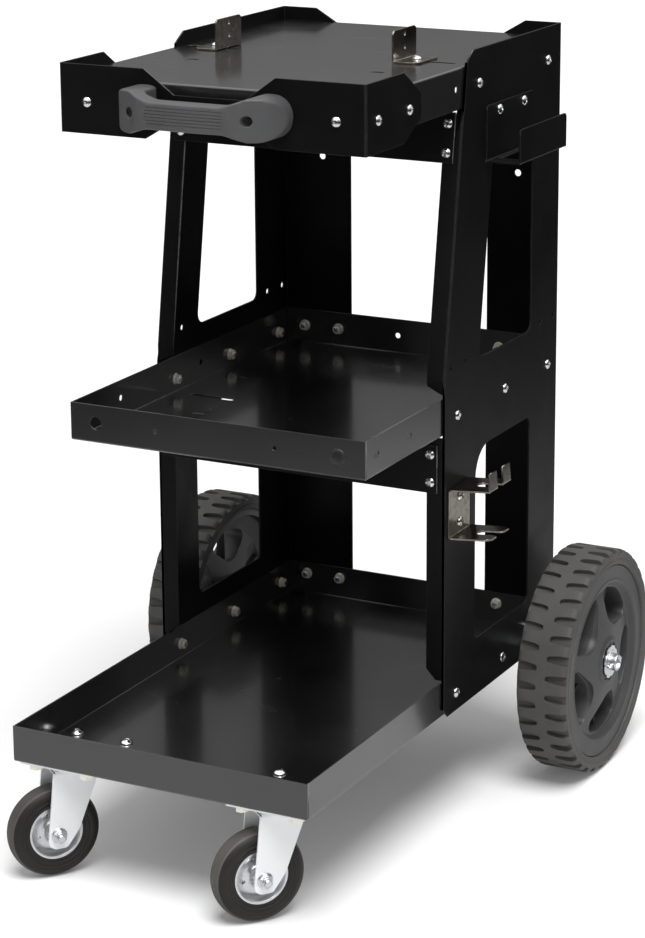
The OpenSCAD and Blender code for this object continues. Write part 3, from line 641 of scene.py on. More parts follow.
@dataclass(frozen=True)
class Finish:
    """One surface finish and how it is made.

    Attributes:
        name: The material's name.
        dark: The darker tone.
        light: The lighter tone.
        rough: Lowest and highest roughness.
        metallic: How far it looks like bare metal, from 0 to 1.
        coat: Weight of the clear layer.
        coat_rough: Roughness of the clear layer.
        specular: Specular level of the base.
        wave: Scale of the slow waves, per metre.
        grain: Scale of the fine grain, per metre.
        grain_share: The grain's share of the relief.
        relief: Height of the relief in millimetres.
        edge: Tone of the painted highlight along edges, which plating patches take too.
        edge_strength: How far the edges take that painted highlight tone.
        edge_radius: Width of the painted edge highlight in millimetres.
        spangle: Scale of plating patches, per metre, or 0 for none.
        patch_share: How far a patch takes the tone of the edges.
        drift: Scale of the slow change of tone, per metre.
        smear: Scale of the slow change of gloss, per metre.
        breakup: Scale of the breaks in the painted edge highlight, per metre.
        bump: Strength of the relief.
    """

    name: str
    dark: Tone
    light: Tone
    rough: tuple[float, float]
    metallic: float = 0.0
    coat: float = 0.0
    coat_rough: float = 0.1
    specular: float = 0.5
    wave: float = 350.0
    grain: float = 2600.0
    grain_share: float = 0.4
    relief: float = 0.05
    edge: Tone = (0.3, 0.3, 0.3)
    edge_strength: float = 0.3
    edge_radius: float = 0.5
    spangle: float = 0.0
    patch_share: float = 0.35
    drift: float = 9.0
    smear: float = 14.0
    breakup: float = 240.0
    bump: float = 0.6

    def base(self, desk: NodeDesk, place: NodeSocket) -> NodeSocket:
        """Mixes the base colour: the drifting tone, the plating patches and the painted highlight along edges.

        Args:
            desk: The desk on the material.
            place: The object coordinates.

        Returns:
            The colour.
        """
        patch_and_highlight_tone = (*self.edge, 1.0)
        tone = SHELF.use(desk, Effect.DRIFT, Vector=place, Scale=self.drift)
        desk.feed(tone, {"First": (*self.dark, 1.0), "Second": (*self.light, 1.0)})
        colour = tone.outputs[0]
        if self.spangle:
            patch = SHELF.use(desk, Effect.SPANGLE, Vector=place, Scale=self.spangle)
            colour = desk.blend(desk.maths("MULTIPLY", patch.outputs[0], self.patch_share), colour, patch_and_highlight_tone)
        # Painted highlight: edges take a pale tone, standing in for light caught on their rounding
        edge_highlight = SHELF.use(desk, Effect.RUB, Vector=place, Breakup_Scale=self.breakup)
        desk.feed(edge_highlight, {"Radius": self.edge_radius * MM})
        return desk.blend(desk.maths("MULTIPLY", edge_highlight.outputs[0], self.edge_strength), colour, patch_and_highlight_tone)

    def material(self) -> Material:
        """Builds the material, or gives it back when it exists.

        Returns:
            The material.
        """
        known = bpy.data.materials.get(self.name)
        if known is not None:
            return known
        material = bpy.data.materials.new(self.name)
        material.use_nodes = True
        desk = NodeDesk(material.node_tree)
        shader = desk.tree.nodes["Principled BSDF"]
        place = desk.add("ShaderNodeTexCoord").outputs["Object"]
        gloss = SHELF.use(desk, Effect.GLOSS, Vector=place, Scale=self.smear)
        desk.feed(gloss, {"Low": self.rough[0], "High": self.rough[1]})
        skin = SHELF.use(desk, Effect.SKIN, Vector=place, Wave_Scale=self.wave)
        desk.feed(skin, {"Grain Scale": self.grain, "Grain Share": self.grain_share})
        bump = desk.add("ShaderNodeBump", Height=skin.outputs[0], Strength=self.bump)
        desk.feed(bump, {"Distance": self.relief * MM})
        shader.inputs["Metallic"].default_value = self.metallic
        shader.inputs["Coat Weight"].default_value = self.coat
        shader.inputs["Coat Roughness"].default_value = self.coat_rough
        shader.inputs["Specular IOR Level"].default_value = self.specular
        base = self.base(desk, place)
        desk.feed(shader, {"Base Color": base, "Roughness": gloss.outputs[0], "Normal": bump.outputs[0]})
        return material


# In each finish, the edge tone is painted along its edges as a highlight
POWDER = Finish(
    "black_powder_coat",
    dark=(0.004, 0.004, 0.0045),
    light=(0.007, 0.007, 0.0075),
    rough=(0.3, 0.42),
    specular=0.12,
    edge=(0.42, 0.41, 0.4),
    edge_strength=0.5,
)
TRAY_POWDER = Finish(
    "glossy_tray_powder",
    dark=(0.006, 0.006, 0.0065),
    light=(0.009, 0.009, 0.0095),
    rough=(0.2, 0.28),
    coat=1.0,
    coat_rough=0.12,
    specular=0.8,
    edge=(0.4, 0.39, 0.38),
    edge_strength=0.4,
)
ZINC = Finish(
    "plated_zinc",
    dark=(0.92, 0.94, 0.95),
    light=(0.97, 0.98, 0.99),
    rough=(0.32, 0.42),
    metallic=0.35,
    relief=0.03,
    edge=(0.98, 0.98, 0.98),
    edge_strength=0.5,
    spangle=260.0,
)
BRIGHT_ZINC = Finish(
    "bright_zinc",
    dark=(0.66, 0.68, 0.7),
    light=(0.8, 0.82, 0.84),
    rough=(0.25, 0.36),
    metallic=0.95,
    relief=0.02,
    edge=(0.9, 0.91, 0.92),
    edge_strength=0.5,
    spangle=300.0,
)
WARM_ZINC = Finish(
    "warm_nut_zinc",
    dark=(0.9, 0.86, 0.72),
    light=(0.98, 0.95, 0.84),
    rough=(0.16, 0.24),
    metallic=0.1,
    coat=0.6,
    coat_rough=0.08,
    specular=0.8,
    relief=0.02,
    edge=(1.0, 0.98, 0.9),
    edge_strength=0.5,
    spangle=260.0,
)
BRONZED = Finish(
    "bronzed_zinc",
    dark=(0.22, 0.2, 0.17),
    light=(0.31, 0.28, 0.24),
    rough=(0.16, 0.26),
    metallic=1.0,
    relief=0.03,
    edge=(0.7, 0.66, 0.58),
    edge_strength=0.6,
    spangle=200.0,
)
CHROME = Finish(
    "bright_chrome",
    dark=(0.82, 0.82, 0.83),
    light=(0.88, 0.88, 0.89),
    rough=(0.08, 0.14),
    metallic=1.0,
    relief=0.01,
    edge=(1.0, 1.0, 1.0),
)
BLACKENED = Finish(
    "blackened_screw",
    dark=(0.12, 0.12, 0.12),
    light=(0.18, 0.18, 0.18),
    rough=(0.35, 0.45),
    metallic=1.0,
    relief=0.02,
)
GRIP = Finish(
    "grey_moulded_grip",
    dark=(0.072, 0.072, 0.075),
    light=(0.09, 0.09, 0.093),
    rough=(0.4, 0.5),
    grain=3200.0,
    grain_share=0.75,
    relief=0.06,
    edge=(0.2, 0.2, 0.21),
)
RIM = Finish(
    "grey_moulded_rim",
    dark=(0.042, 0.042, 0.044),
    light=(0.056, 0.056, 0.058),
    rough=(0.4, 0.5),
    grain_share=0.6,
    relief=0.04,
    edge=(0.24, 0.24, 0.245),
)
PLUG = Finish(
    "black_moulded_plug",
    dark=(0.01, 0.01, 0.01),
    light=(0.014, 0.014, 0.014),
    rough=(0.3, 0.4),
    relief=0.03,
)
TYRE = Finish(
    "black_tyre_rubber",
    dark=(0.058, 0.055, 0.053),
    light=(0.088, 0.085, 0.082),
    rough=(0.55, 0.7),
    wave=700.0,
    grain=3500.0,
    relief=0.08,
    edge=(0.17, 0.17, 0.165),
    edge_radius=0.8,
)
CASTER_SIDE = Finish(
    "grey_caster_rubber",
    dark=(0.014, 0.012, 0.011),
    light=(0.023, 0.02, 0.019),
    rough=(0.45, 0.6),
    specular=0.3,
    wave=600.0,
    relief=0.06,
    edge=(0.11, 0.1, 0.09),
)
CASTER_TREAD = Finish(
    "worn_caster_tread",
    dark=(0.06, 0.055, 0.05),
    light=(0.1, 0.092, 0.085),
    rough=(0.6, 0.75),
    wave=600.0,
    relief=0.08,
    edge=(0.3, 0.28, 0.26),
)


# Sheet metal


class Corners(Enum):
    """How the corners of a sheet piece are made."""

    FOLDED = "folded"
    SEAMED = "seamed"


@dataclass(frozen=True)
class SheetPiece:
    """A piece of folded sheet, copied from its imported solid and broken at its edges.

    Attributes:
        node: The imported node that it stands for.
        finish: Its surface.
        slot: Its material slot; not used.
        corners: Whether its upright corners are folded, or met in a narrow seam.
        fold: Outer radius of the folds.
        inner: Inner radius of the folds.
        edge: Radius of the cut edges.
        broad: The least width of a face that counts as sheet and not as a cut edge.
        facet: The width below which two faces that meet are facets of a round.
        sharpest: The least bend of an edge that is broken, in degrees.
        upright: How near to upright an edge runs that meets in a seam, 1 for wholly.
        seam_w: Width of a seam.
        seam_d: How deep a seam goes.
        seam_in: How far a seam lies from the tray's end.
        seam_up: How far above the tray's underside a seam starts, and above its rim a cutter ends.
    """

    node: str
    finish: Finish = POWDER
    slot: str = "black_powder"
    corners: Corners = Corners.FOLDED
    fold: float = 2.4
    inner: float = 0.9
    edge: float = 0.3
    broad: float = 5.0
    facet: float = 2.4
    sharpest: float = 25.0
    upright: float = 0.9
    seam_w: float = 1.8
    seam_d: float = 1.6
    seam_in: float = 1.5
    seam_up: float = 3.0

    def weight(self, edge: BMEdge) -> float:
        """Gives an edge's share of the fold radius.

        Args:
            edge: The edge.

        Returns:
            The share, 0 for an edge that stays.
        """
        if len(edge.link_faces) != 2 or edge.calc_face_angle() < math.radians(self.sharpest):
            return 0.0
        widths = [2 * f.calc_area() / f.calc_perimeter() / MM for f in edge.link_faces]
        along = (edge.verts[0].co - edge.verts[1].co).normalized()
        if max(widths) < self.facet:
            return 0.0
        meets = self.corners is Corners.SEAMED and abs(along.z) > self.upright
        if min(widths) > self.broad and not meets:
            return 1.0 if edge.is_convex else self.inner / self.fold
        return self.edge / self.fold

    def seam_cutters(self) -> list[Object]:
        """Makes the narrow blocks that open the seams beside the upright corners.

        Returns:
            One block for each corner.
        """
        low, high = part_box(self.node)
        levels = (low.z / MM + self.seam_up, high.z / MM + self.seam_up)
        cutters = []
        for x in (low.x / MM, high.x / MM):
            for y, inwards in ((low.y / MM, 1), (high.y / MM, -1)):
                near, far = y + inwards * self.seam_in, y + inwards * (self.seam_in + self.seam_w)
                first, last = sorted((near, far))
                west, east = x - self.seam_d, x + self.seam_d
                block = [(west, first), (east, first), (east, last), (west, last)]
                cutters.append(as_object(stacked([(block, level) for level in levels]), "seam_cutter"))
        return cutters

    def build(self) -> Object:
        """Copies the node, rounds its folds, breaks its cut edges and opens its seams.

        Returns:
            The finished sheet.
        """
        mesh = whole_mesh(frame["nodes"][self.node])
        layer = mesh.edges.layers.float.new("bevel_weight_edge")
        for edge in mesh.edges:
            edge[layer] = self.weight(edge)
        made = as_object(mesh, self.node + "_sheet")
        bevel = made.modifiers.new("broken_edges", "BEVEL")
        bevel.limit_method, bevel.width, bevel.segments = "WEIGHT", self.fold * MM, 3
        bevel.use_clamp_overlap, bevel.loop_slide = False, False
        if self.corners is Corners.SEAMED:
            made.modifiers.new("whole_triangles", "TRIANGULATE")
            made = carve(made, self.seam_cutters())
            whole = whole_mesh(made)
            whole.to_mesh(made.data)
            whole.free()
        return flat_shaded(made, "sheet_" + self.node)

    def dress(self) -> None:
        """Builds the piece and puts it in its node's place."""
        put(self.build(), self.finish.material(), [self.node])
        log.info("sheet piece %s", self.node)


def zinc_piece(node: str, finish: Finish = BRIGHT_ZINC, edge: float = 0.3) -> SheetPiece:
    """Describes a small turned or stamped zinc piece, on which every edge is a cut edge."""
    return SheetPiece(node, finish, "zinc_steel", edge=edge, broad=60)


SHEET_PIECES = (
    SheetPiece("bottom_tray", TRAY_POWDER, corners=Corners.SEAMED),
    SheetPiece("middle_tray", TRAY_POWDER, corners=Corners.SEAMED),
    SheetPiece("top_plate", TRAY_POWDER),
    *(SheetPiece(side + "_panel") for side in SIDES),
    SheetPiece("front_bracket"),
    SheetPiece("upper_crossbar"),
    SheetPiece("lower_crossbar"),
    SheetPiece("cable_hook"),
    SheetPiece("torch_holder", BRONZED),
    *(SheetPiece(side + "_angle", BRONZED, "zinc_steel") for side in SIDES),
    *(SheetPiece(side + "_fork", ZINC, "zinc_steel", fold=3.0, inner=1.0) for side in SIDES),
    zinc_piece("caster_plates", ZINC, edge=0.5),
    zinc_piece("caster_races", ZINC),
    zinc_piece("kingpins"),
    *(zinc_piece(side + "_caster_bush", edge=0.2) for side in SIDES),
    zinc_piece("axle_spacers"),
    zinc_piece("split_pins", edge=0.1),
)


# Fasteners


class Shape(Enum):
    """The shapes of screws and nuts on the cart."""

    BUTTON_SCREW = "button_screw"
    CASTER_BOLT = "caster_bolt"
    GRIP_SCREW = "grip_screw"
    FLANGE_NUT = "flange_nut"


class Facing(Enum):
    """Which way the fasteners of a set point."""

    OUTWARDS = "outwards"
    UP = "up"
    RIGHT = "right"


HEAD_R = {Shape.BUTTON_SCREW: 5.6, Shape.CASTER_BOLT: 7.0, Shape.GRIP_SCREW: 4.3}


@dataclass(frozen=True)
class FastenerSet:
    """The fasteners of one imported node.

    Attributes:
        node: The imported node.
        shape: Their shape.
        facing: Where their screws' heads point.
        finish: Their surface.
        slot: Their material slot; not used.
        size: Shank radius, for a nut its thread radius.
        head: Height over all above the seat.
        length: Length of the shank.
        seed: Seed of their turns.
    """

    node: str
    shape: Shape = Shape.BUTTON_SCREW
    facing: Facing = Facing.OUTWARDS
    finish: Finish = CHROME
    slot: str = "bright_steel"
    size: float = 3.0
    head: float = 3.4
    length: float = 10.5
    seed: int = 1

    @property
    def is_nut(self) -> bool:
        """Whether they are nuts, which point the other way."""
        return self.shape is Shape.FLANGE_NUT

    def screw(self, steps: int) -> BMesh:
        """Makes a domed screw with a six-lobed recess, its seat at Z = 0.

        Args:
            steps: Steps round the head.

        Returns:
            The screw.
        """
        top, key, head_r = self.head, self.size * 0.66, HEAD_R[self.shape]
        end = -self.length - 0.4
        dome = np.radians([38, 50, 62, 74, 84, 90])
        stations = [
            (0, top * 0.42),
            (lobed(key * 0.92), top * 0.42),
            (lobed(key), top * 0.9),
            (key * 1.3, top * 0.97),
            *((head_r * math.sin(a), top * 0.12 + top * 0.86 * math.cos(a)) for a in dome),
            (head_r, 0.25),
            (head_r - 0.3, 0.0),
            (self.size, 0.0),
            (self.size, -self.length),
            (self.size * 0.8, end),
            (0, end),
        ]
        return turned(stations, steps)

    def nut(self, steps: int) -> BMesh:
        """Makes a flanged nut with bevelled corners, its seat at Z = 0.

        Args:
            steps: Steps round the flange.

        Returns:
            The nut.
        """
        bore, flat, top = self.size + 0.06, self.size * 1.66, self.head
        stations = [
            (bore, 0.0),
            (self.size * 2.1, 0.0),
            (self.size * 2.2, 0.25),
            (self.size * 2.2, 0.7),
            (self.size * 2.05, 1.0),
            (hexagon(flat, self.size * 1.9), 1.9),
            (hexagon(flat), 2.4),
            (hexagon(flat), top - 0.6),
            (hexagon(flat, flat * 1.03), top - 0.1),
            (flat * 0.93, top),
            (bore + 0.35, top),
            (bore, top - 0.35),
        ]
        return turned(stations, steps, True)


def flange_nuts(node: str, seed: int, facing: Facing = Facing.OUTWARDS, **sizes: float) -> FastenerSet:
    """Describes the flanged nuts of a node."""
    sizes = {"head": 5.6, **sizes}
    return FastenerSet(node, Shape.FLANGE_NUT, facing, WARM_ZINC, "zinc_steel", seed=seed, **sizes)


FASTENER_SETS = (
    FastenerSet("panel_screws", seed=3),
    FastenerSet("bracket_screws", seed=4),
    FastenerSet("crossbar_screws", seed=5),
    FastenerSet("accessory_screws", facing=Facing.RIGHT, seed=6),
    FastenerSet("left_angle_screw", facing=Facing.UP, length=12.5, seed=7),
    FastenerSet("right_angle_screw", facing=Facing.UP, length=12.5, seed=8),
    FastenerSet("caster_bolts", Shape.CASTER_BOLT, Facing.UP, size=4.0, head=4.4, length=10.2, seed=9),
    FastenerSet("handle_screws", Shape.GRIP_SCREW, finish=BLACKENED, size=2.5, head=2.4, length=44, seed=10),
    flange_nuts("panel_nuts", 11),
    flange_nuts("bracket_nuts", 12),
    flange_nuts("crossbar_nuts", 13),
    flange_nuts("accessory_nuts", 14, Facing.RIGHT),
    flange_nuts("left_angle_nut", 15, Facing.UP),
    flange_nuts("right_angle_nut", 16, Facing.UP),
    flange_nuts("caster_nuts", 17, Facing.UP, size=4.0, head=6.2),
    flange_nuts("handle_nuts", 18, size=2.5, head=4.8),
)


@dataclass
class FastenerKit:
    """Sets the fasteners on their seats with Geometry Nodes.

    Attributes:
        side_from: How far from the middle a fastener belongs to a side, in metres.
        back_from: How far behind the middle it belongs to the back, in metres.
        lean_from: How high a crossbar's fastener leans with the front flanges, in metres.
        lean: How far those flanges lean back, in degrees.
        steps: Steps round a head.
        tree: The node tree that sets them, built at its first use.
    """

    side_from: float = 0.165
    back_from: float = 0.2
    lean_from: float = 0.6
    lean: float = 8.9
    steps: int = 36
    tree: NodeTree | None = None

    def shape(self, kind: FastenerSet) -> Object:
        """Makes the one object that a set's copies are taken from."""
        mesh = kind.nut(self.steps) if kind.is_nut else kind.screw(self.steps)
        return smooth(as_object(mesh, kind.node + "_shape"), 32)

    def axis_at(self, kind: FastenerSet, middle: np.ndarray) -> Vector:
        """Tells which way a fastener's head points from where it sits.

        Args:
            kind: Its set.
            middle: Where it sits, in metres.

        Returns:
            Its axis.
        """
        lean = math.radians(self.lean)
        if kind.facing is Facing.UP:
            axis = Vector((0, 0, 1))
        elif kind.facing is Facing.RIGHT or abs(middle[0]) > self.side_from:
            axis = Vector((math.copysign(1, middle[0]), 0, 0))
        elif middle[1] > self.back_from:
            axis = Vector((0, 1, 0))
        elif kind.node.startswith("crossbar") and middle[2] > self.lean_from:
            axis = Vector((0, -math.cos(lean), math.sin(lean)))
        else:
            axis = Vector((0, -1, 0))
        return -axis if kind.is_nut else axis

    def seats(self, kind: FastenerSet) -> Object:
        """Makes the points of a set's seats, each with the axis of its fastener.

        Args:
            kind: The set.

        Returns:
            An object of single points.
        """
        points, axes = [], []
        for corners in solids_of(kind.node):
            axis = self.axis_at(kind, corners.mean(0))
            side = axis.orthogonal().normalized()
            basis = np.array([side[:], axis.cross(side)[:], axis[:]])
            local = corners @ basis.T
            middle = (local.min(0) + local.max(0)) / 2
            middle[2] = local[:, 2].max() - kind.head * MM
            points.append(basis.T @ middle)
            axes.append(axis)
        data = bpy.data.meshes.new(kind.node + "_seats")
        data.from_pydata([tuple(p) for p in points], [], [])
        store = data.attributes.new("seat_axis", "FLOAT_VECTOR", "POINT")
        for item, axis in zip(store.data, axes):
            item.vector = axis
        return linked(kind.node + "_seats", data)

    def setting_tree(self) -> NodeTree:
        """Builds the tree that sets one shape on every seat, turned at random about its own axis.

        Returns:
            The tree.
        """
        if self.tree is not None:
            return self.tree
        self.tree = bpy.data.node_groups.new("set_fasteners_on_seats", "GeometryNodeTree")
        ins = {"Seats": "Geometry", "Shape": "Object", "Turn Seed": "Int", "Finish": "Material"}
        desk, given, out = opened(self.tree, ins, {"Fasteners": "Geometry"})
        axis = desk.add("GeometryNodeInputNamedAttribute", {"data_type": "FLOAT_VECTOR"}, Name="seat_axis")
        upright = desk.add("FunctionNodeAlignRotationToVector", {"axis": "Z"}, Vector=axis.outputs[0])
        turn = desk.add("FunctionNodeRandomValue", {"data_type": "FLOAT"}, Seed=given.outputs["Turn Seed"])
        desk.feed(turn, {3: 2 * math.pi})
        angles = desk.add("ShaderNodeCombineXYZ", Z=turn.outputs[1])
        spin = desk.add("FunctionNodeEulerToRotation", Euler=angles.outputs[0])
        both = desk.add("FunctionNodeRotateRotation", {"rotation_space": "LOCAL"})
        desk.feed(both, {"Rotation": upright.outputs[0], "Rotate By": spin.outputs[0]})
        shape = desk.add("GeometryNodeObjectInfo", Object=given.outputs["Shape"])
        copies = desk.add("GeometryNodeInstanceOnPoints", Points=given.outputs["Seats"])
        desk.feed(copies, {"Instance": shape.outputs["Geometry"], "Rotation": both.outputs[0]})
        real = desk.add("GeometryNodeRealizeInstances", Geometry=copies.outputs[0])
        dressed = desk.add("GeometryNodeSetMaterial", Geometry=real.outputs[0])
        desk.feed(dressed, {"Material": given.outputs["Finish"]})
        desk.feed(out, {0: dressed.outputs[0]})
        return self.tree

    def dress(self, kind: FastenerSet) -> None:
        """Sets a node's fasteners on their seats as one plain mesh.

        Args:
            kind: The set of that node.
        """
        shape, seats, finish = self.shape(kind), self.seats(kind), kind.finish.material()
        count = len(seats.data.vertices)
        run_tree(seats, self.setting_tree(), {"Shape": shape, "Turn Seed": kind.seed, "Finish": finish})
        made = smooth(plain(seats, "set_" + kind.node), 32)
        bpy.data.objects.remove(shape)
        put(made, finish, [kind.node])
        log.info("%d fasteners for %s", count, kind.node)


@dataclass
class RingMaker:
    """Repeats a sector round the Z axis with Geometry Nodes.

    Attributes:
        weld: How near the points of two sectors lie that become one, in metres.
        tree: The node tree, built at its first use.
    """

    weld: float = 1e-5
    tree: NodeTree | None = None

    def ring_tree(self) -> NodeTree:
        """Builds the tree that turns copies of a sector into a ring and welds their seams.

        Returns:
            The tree.
        """
        if self.tree is not None:
            return self.tree
        self.tree = bpy.data.node_groups.new("repeat_round_the_axle", "GeometryNodeTree")
        ins = {"Sector": "Geometry", "Count": "Int", "Weld Distance": "Float", "Finish": "Material"}
        desk, given, out = opened(self.tree, ins, {"Ring": "Geometry"})
        spots = desk.add("GeometryNodePoints", Count=given.outputs["Count"])
        step = desk.maths("DIVIDE", 2 * math.pi, given.outputs["Count"])
        angle = desk.maths("MULTIPLY", desk.add("GeometryNodeInputIndex").outputs[0], step)
        angles = desk.add("ShaderNodeCombineXYZ", Z=angle)
        turn = desk.add("FunctionNodeEulerToRotation", Euler=angles.outputs[0])
        copies = desk.add("GeometryNodeInstanceOnPoints", Points=spots.outputs[0])
        desk.feed(copies, {"Instance": given.outputs["Sector"], "Rotation": turn.outputs[0]})
        real = desk.add("GeometryNodeRealizeInstances", Geometry=copies.outputs[0])
        weld = desk.add("GeometryNodeMergeByDistance", Geometry=real.outputs[0])
        desk.feed(weld, {"Distance": given.outputs["Weld Distance"]})
        dressed = desk.add("GeometryNodeSetMaterial", Geometry=weld.outputs[0])
        desk.feed(dressed, {"Material": given.outputs["Finish"]})
        desk.feed(out, {0: dressed.outputs[0]})
        return self.tree

    def ring(self, sector: Object, count: int, finish: Finish, name: str) -> Object:
        """Turns a sector into a closed ring.

        Args:
            sector: The sector round the Z axis, which is removed.
            count: How many make a full turn.
            finish: The surface.
            name: The ring's name.

        Returns:
            The ring as a plain mesh object.
        """
        values = {"Count": count, "Weld Distance": self.weld, "Finish": finish.material()}
        run_tree(sector, self.ring_tree(), values)
        return plain(sector, name)


RINGS = RingMaker()


# Rear wheels


@dataclass(frozen=True)
class RearWheel:
    """A large moulded wheel with a slotted solid tyre, on a stub axle.

    Attributes:
        side: -1 for the left wheel, 1 for the right.
        radius: Outer radius of the tyre.
        width: Width of the tyre.
        rim_r: Radius where the tyre sits on the rim.
        band: Height of the rim's band, from that radius to the web.
        hub_half: Half the hub's length.
        bore: Radius of the bore.
        web_front: Height of the web's face over the wheel's middle.
        web_back: Height of the web's back.
        windows: Number of windows.
        pocket_r: Mean radius of the toothed pocket round the hub's washer.
        pocket_teeth: Number of its teeth.
        pitches: Tread slots on each side.
        columns: Columns of faces in one pitch of the tread.
        slot_depth: Depth of the tread slots.
        slot_end: Where a slot ends, from the tyre's middle.
        slot_half: Half width of a slot at its inner end and at the shoulder.
        slot_lip: Width of the lip beside a slot.
    """

    side: int
    radius: float = 130.0
    width: float = 60.0
    rim_r: float = 112.0
    band: float = 18.0
    hub_half: float = 32.0
    bore: float = 10.08
    web_front: float = 20.0
    web_back: float = -8.0
    windows: int = 5
    pocket_r: float = 21.8
    pocket_teeth: int = 10
    pitches: int = 36
    columns: int = 16
    slot_depth: float = 5.2
    slot_end: float = 5.2
    slot_half: tuple[float, float] = (3.0, 5.3)
    slot_lip: float = 0.45

    @property
    def label(self) -> str:
        """The side's word in the nodes' names."""
        return "left" if self.side < 0 else "right"

    def frame(self) -> Matrix:
        """Gives the wheel's frame, whose Z points outwards."""
        place = axle_frame(JOINTS[self.label + "_rear_spin"]["pos_m"], (self.side, 0, 0))
        return place @ Matrix.Rotation(0 if self.side > 0 else math.pi, 4, "Z")

    def column_spots(self, centre: int, half: float, share: float) -> list[float]:
        """Places the columns of one row of a tread sector.

        Args:
            centre: The column in the middle of the slot.
            half: The slot's half width in this row.
            share: 1 where the columns follow the slot, 0 where they are even.

        Returns:
            The place of each column along the tread, from 0 to one pitch.
        """
        pitch = 2 * math.pi * self.radius / self.pitches
        even, edge, most = pitch / self.columns, half + self.slot_lip, self.columns // 2
        ordered = [0.0] * (self.columns + 1)
        for off in range(-most, most + 1):
            if abs(off) <= 1:
                spot = off * half
            else:
                spot = math.copysign(edge + (abs(off) - 2) * (pitch / 2 - edge) / (most - 2), off)
            turns, column = divmod(centre + off, self.columns)
            ordered[column] = centre * even + spot + (1 - share) * (off * even - spot) - pitch * turns
        ordered[-1] = ordered[0] + pitch
        return ordered

    def tyre_rows(self, up: int) -> list[list[Vector]]:
        """Gives the rows of half a tread sector, from beside the middle to the bead.

        Args:
            up: 1 for the outer half, -1 for the inner one.

        Returns:
            Rows of points in metres.
        """
        r, h, end, bead = self.radius, self.width / 2, self.slot_end, self.rim_r
        low, high = self.slot_half
        wider = high - low
        # Each row: radius, height, the slot's half width, how far the columns follow it, is it cut
        rows = [
            (r, end * 0.35, 1.0, 0.3, False),
            (r, end * 0.7, 1.0, 0.7, False),
            (r, end, 0.6, 1.0, False),
            (r, end + 0.35, low * 0.55, 1.0, True),
            (r, end + 0.9, low * 0.8, 1.0, True),
            (r, end + 2.0, low, 1.0, True),
            (r, end + 5.0, low + wider * 0.4, 1.0, True),
            (r, end + 11.0, low + wider * 0.75, 1.0, True),
            (r, h - 6.5, high, 1.0, True),
            (r - 0.5, h - 4.0, high, 1.0, True),
            (r - 1.7, h - 2.0, high, 1.0, True),
            (r - 3.2, h - 0.7, high, 1.0, True),
            (r - 5.0, h, high, 1.0, True),
            (r - 7.0, h, high, 0.8, False),
            (r - 9.5, h, high, 0.4, False),
            (r - 10.1, h - 0.5, high, 0.2, False),
            (r - 10.9, h - 0.5, high, 0.1, False),
            (r - 11.5, h, high, 0.0, False),
            (bead + 2.4, h, high, 0.0, False),
            (bead + 1.0, h - 0.8, high, 0.0, False),
            (bead + 0.1, h - 2.2, high, 0.0, False),
            (bead, h - 4.0, high, 0.0, False),
        ]
        quarter, most = self.columns // 4, self.columns // 2
        centre = quarter if up > 0 else 3 * quarter
        made = []
        for radius, height, half, share, cut in rows:
            row = []
            for column, spot in enumerate(self.column_spots(centre, half, share)):
                in_slot = abs((column - centre + most) % self.columns - most) <= 1
                at = min(radius, r - self.slot_depth) if in_slot and cut else radius
                angle = spot / r
                row.append(Vector((at * math.cos(angle), at * math.sin(angle), up * height)) * MM)
            made.append(row)
        return made

    def tyre(self) -> Object:
        """Builds one sector of the tyre and repeats it round the axle.

        Returns:
            The tyre in its place.
        """
        r = self.radius
        even = [k * 2 * math.pi / self.pitches / self.columns for k in range(self.columns + 1)]
        crown = [Vector((r * math.cos(a), r * math.sin(a), 0)) * MM for a in even]
        rows = [*reversed(self.tyre_rows(-1)), crown, *self.tyre_rows(1)]
        sector = as_object(net(rows, True, False), self.label + "_tread_sector")
        ring = RINGS.ring(sector, self.pitches, TYRE, self.label + "_slotted_tyre")
        mesh = bmesh.new()
        mesh.from_mesh(ring.data)
        bmesh.ops.recalc_face_normals(mesh, faces=mesh.faces)
        mesh.to_mesh(ring.data)
        mesh.free()
        ring.data.transform(self.frame())
        return smooth(ring, 40)

    def window(self, by: float) -> list[Point]:
        """Gives a window's outline, swollen by a distance.

        Args:
            by: The distance.

        Returns:
            The outline's points.
        """
        edge = self.rim_r - self.band
        corners = [(edge - 19.5, -44.5), (edge - 5.5, 3), (edge - 21.5, 49), (43, 21), (44, 4)]
        return swollen(eased(corners, [9, 60, 10, 20, 20], 8), by)

    def window_cutter(self, turn: Matrix) -> Object:
        """Makes the block that cuts one window and softens its front edge.

        Args:
            turn: The window's turn round the axle.

        Returns:
            The block.
        """
        front = self.web_front - 0.6
        bends = enumerate(np.radians([90, 55, 30, 12]))
        soft = [(1.8 * (1 - math.sin(a)), front + 0.9 * k) for k, a in bends]
        levels = [(0.0, -40.0), *soft, (2.4, 45.0)]
        return as_object(stacked([(self.window(by), z) for by, z in levels]), "window_cutter", turn)

    def pocket_edge(self, angle: float) -> float:
        """Gives the toothed pocket's radius at an angle."""
        tooth = max(-0.8, min(0.8, 2.2 * math.cos(self.pocket_teeth * angle)))
        return self.pocket_r + 1.1 * tooth

    def pocket_cutter(self) -> Object:
        """Makes the toothed disc that sinks the pocket round the hub's washer.

        Returns:
            The disc.
        """
        low, high, edge = self.hub_half - 1.6, self.hub_half + 4, self.pocket_edge
        return as_object(turned([(0, low), (edge, low), (edge, high), (0, high)], 120), "pocket_cutter")

    def turned_rim(self) -> Object:
        """Turns the rim's body: hub, web and band.

        Returns:
            The body round the Z axis.
        """
        rr, b, hub, front, back = self.rim_r, self.bore, self.hub_half, self.web_front, self.web_back
        h, edge = self.width / 2, self.rim_r - self.band
